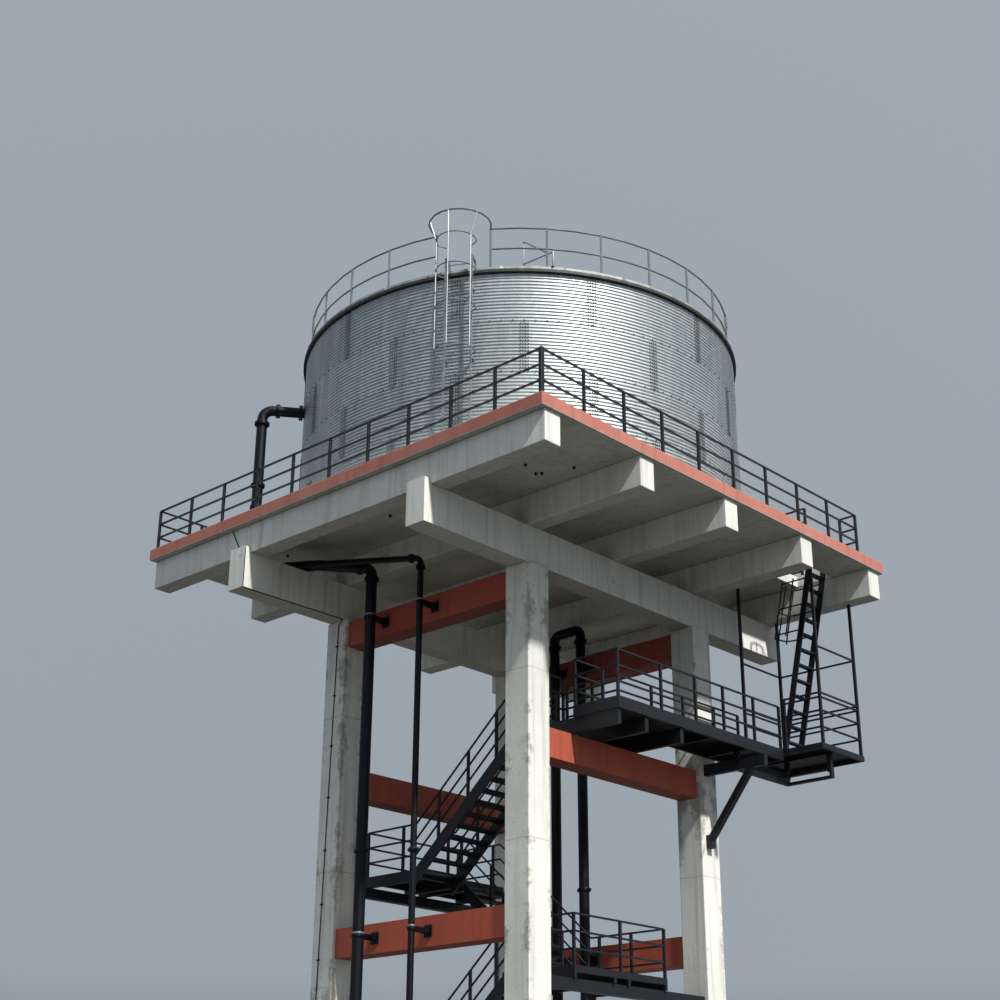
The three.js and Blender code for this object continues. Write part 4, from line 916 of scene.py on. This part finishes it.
class WATERTANK_OT_roof_frame(Operator):
    """Welds the small bracket that stands on the roof edge beside the ladder"""

    bl_idname = "water_tank.roof_frame"
    bl_label = "Roof bracket"

    def execute(self, context):
        left, right, y = 2.595, 3.3, -2.75
        thin, thick, rounding = 0.013, 0.016, 0.002
        made = [
            round_bar((left, y, 16.74), (left, y, 17.575), thin, 8, rounding),
            round_bar((left, y, 17.56), (3.19, y, 17.06), thin, 8, rounding),
            round_bar((left, y, 17.08), (right, y, 17.045), thin, 8, rounding),
            round_bar((right, y, 16.73), (right, y, 17.06), thick, 8, rounding),
            block((2.54, y - 0.05, 16.735), (2.65, y + 0.05, 16.75)),
            block((3.24, y - 0.05, 16.721), (3.34, y + 0.05, 16.735)),
        ]
        settle(joined(made), "roof_bracket", finish(galvanised_tube), "pale_zinc")
        return {"FINISHED"}


class WATERTANK_OT_soffit_drains(Operator):
    """Sets the short drain spouts into the underside of the slab"""

    bl_idname = "water_tank.soffit_drains"
    bl_label = "Soffit drains"

    def execute(self, context):
        made = []
        for x, y in DRAIN_PLACES:
            nothing_selected()
            bpy.ops.mesh.primitive_cylinder_add(vertices=16, radius=0.026, depth=0.04,
                                                location=(x, y, SLAB_BOTTOM - 0.019))
            bpy.ops.object.transform_apply(location=True, rotation=True, scale=True)
            spout = context.object
            for face in spout.data.polygons:
                face.select = face.normal.z < -0.9
            bpy.ops.object.mode_set(mode="EDIT")
            bpy.ops.mesh.select_mode(type="FACE")
            bpy.ops.mesh.inset(thickness=0.008)
            bpy.ops.mesh.extrude_region_move(TRANSFORM_OT_translate={"value": (0, 0, 0.034)})
            bpy.ops.object.mode_set(mode="OBJECT")
            made.append(spout)
        settle(joined(made), "soffit_drains", steelwork(), "black_steel")
        return {"FINISHED"}


class WATERTANK_OT_stage(Operator):
    """Sets up the camera, the plain floor, the key light and the soft surroundings"""

    bl_idname = "water_tank.stage"
    bl_label = "Stage"

    def execute(self, context):
        nothing_selected()
        ahead = Vector((math.cos(CAMERA_PITCH) * math.cos(CAMERA_YAW),
                        math.cos(CAMERA_PITCH) * math.sin(CAMERA_YAW),
                        math.sin(CAMERA_PITCH)))
        level = ahead.cross(Vector((0, 0, 1))).normalized()
        upward = level.cross(ahead)
        right = math.cos(CAMERA_ROLL) * level + math.sin(CAMERA_ROLL) * upward
        up = math.cos(CAMERA_ROLL) * upward - math.sin(CAMERA_ROLL) * level
        turn = Matrix((right, up, -ahead)).transposed().to_euler()
        bpy.ops.object.camera_add(location=CAMERA_PLACE, rotation=turn)
        camera = context.object
        camera.data.lens = CAMERA_LENS
        camera.data.sensor_width = 36
        camera.data.clip_end = 500
        context.scene.camera = camera
        bpy.ops.mesh.primitive_plane_add(size=30, location=(0, 0, -0.002))
        floor = context.object
        floor.name = "floor"
        floor.data.materials.append(pale_floor())
        toward = Vector(TOWARD_SUN)
        bpy.ops.object.light_add(type="SUN", location=toward * 40,
                                 rotation=(-toward).to_track_quat("-Z", "Y").to_euler())
        key = context.object.data
        key.energy = 5.9
        key.angle = math.radians(2.5)
        key.color = (1.0, 0.965, 0.9)
        world = bpy.data.worlds.new("soft_surroundings")
        context.scene.world = world
        world.use_nodes = True
        tree = world.node_tree
        back = tree.nodes["Background"]
        place = add(tree, "ShaderNodeTexCoord").outputs["Generated"]
        share = spread(tree, split(tree, place)[2], -0.05, 0.12)
        sky = blend(tree, share, linear(0x5C6063), linear(0xC4D0DB))
        side = vector_maths(tree, "DOT_PRODUCT", place, TOWARD_GLOW)["Value"]
        glow = spread(tree, side, -1.0, 1.0, 0.78, 1.3)
        lit = blend(tree, 1.0, sky, glow, "MULTIPLY")
        tree.links.new(lit, back.inputs["Color"])
        back.inputs["Strength"].default_value = 0.75
        context.scene.view_settings.view_transform = "Standard"
        return {"FINISHED"}


CLASSES = (
    TankSizes, TankColours, WATERTANK_OT_stage, WATERTANK_OT_finishes,
    WATERTANK_OT_sheet_wall, WATERTANK_OT_wall_bolts, WATERTANK_OT_wall_angles,
    WATERTANK_OT_pipework, WATERTANK_OT_rail_feet, WATERTANK_OT_earthing,
    WATERTANK_OT_roof_frame, WATERTANK_OT_soffit_drains,
)
OPERATORS = [c for c in CLASSES if issubclass(c, Operator)]


class WATERTANK_PT_panel(Panel):
    """Sizes, colours and pieces of the water tank"""

    bl_idname = "WATERTANK_PT_panel"
    bl_label = "Water tank"
    bl_space_type = "VIEW_3D"
    bl_region_type = "UI"
    bl_category = "Water tank"

    def draw(self, context):
        for group in (context.scene.tank_sizes, context.scene.tank_colours):
            for name in group.bl_rna.properties.keys():
                if name not in ("rna_type", "name"):
                    self.layout.prop(group, name)
        for operator in OPERATORS:
            self.layout.operator(operator.bl_idname)


def register():
    """Adds the operators, the panel and its settings."""
    for cls in (*CLASSES, WATERTANK_PT_panel):
        bpy.utils.register_class(cls)
    bpy.types.Scene.tank_sizes = PointerProperty(type=TankSizes)
    bpy.types.Scene.tank_colours = PointerProperty(type=TankColours)


def unregister():
    """Takes the operators, the panel and its settings away again."""
    del bpy.types.Scene.tank_colours
    del bpy.types.Scene.tank_sizes
    for cls in reversed((*CLASSES, WATERTANK_PT_panel)):
        bpy.utils.unregister_class(cls)


def main():
    """Builds every piece in turn."""
    register()
    bpy.ops.water_tank.stage()
    bpy.ops.water_tank.finishes()
    bpy.ops.water_tank.sheet_wall()
    bpy.ops.water_tank.wall_bolts()
    bpy.ops.water_tank.wall_angles()
    bpy.ops.water_tank.pipework()
    bpy.ops.water_tank.rail_feet()
    bpy.ops.water_tank.earthing()
    bpy.ops.water_tank.roof_frame()
    bpy.ops.water_tank.soffit_drains()


if __name__ == "__main__":
    main()
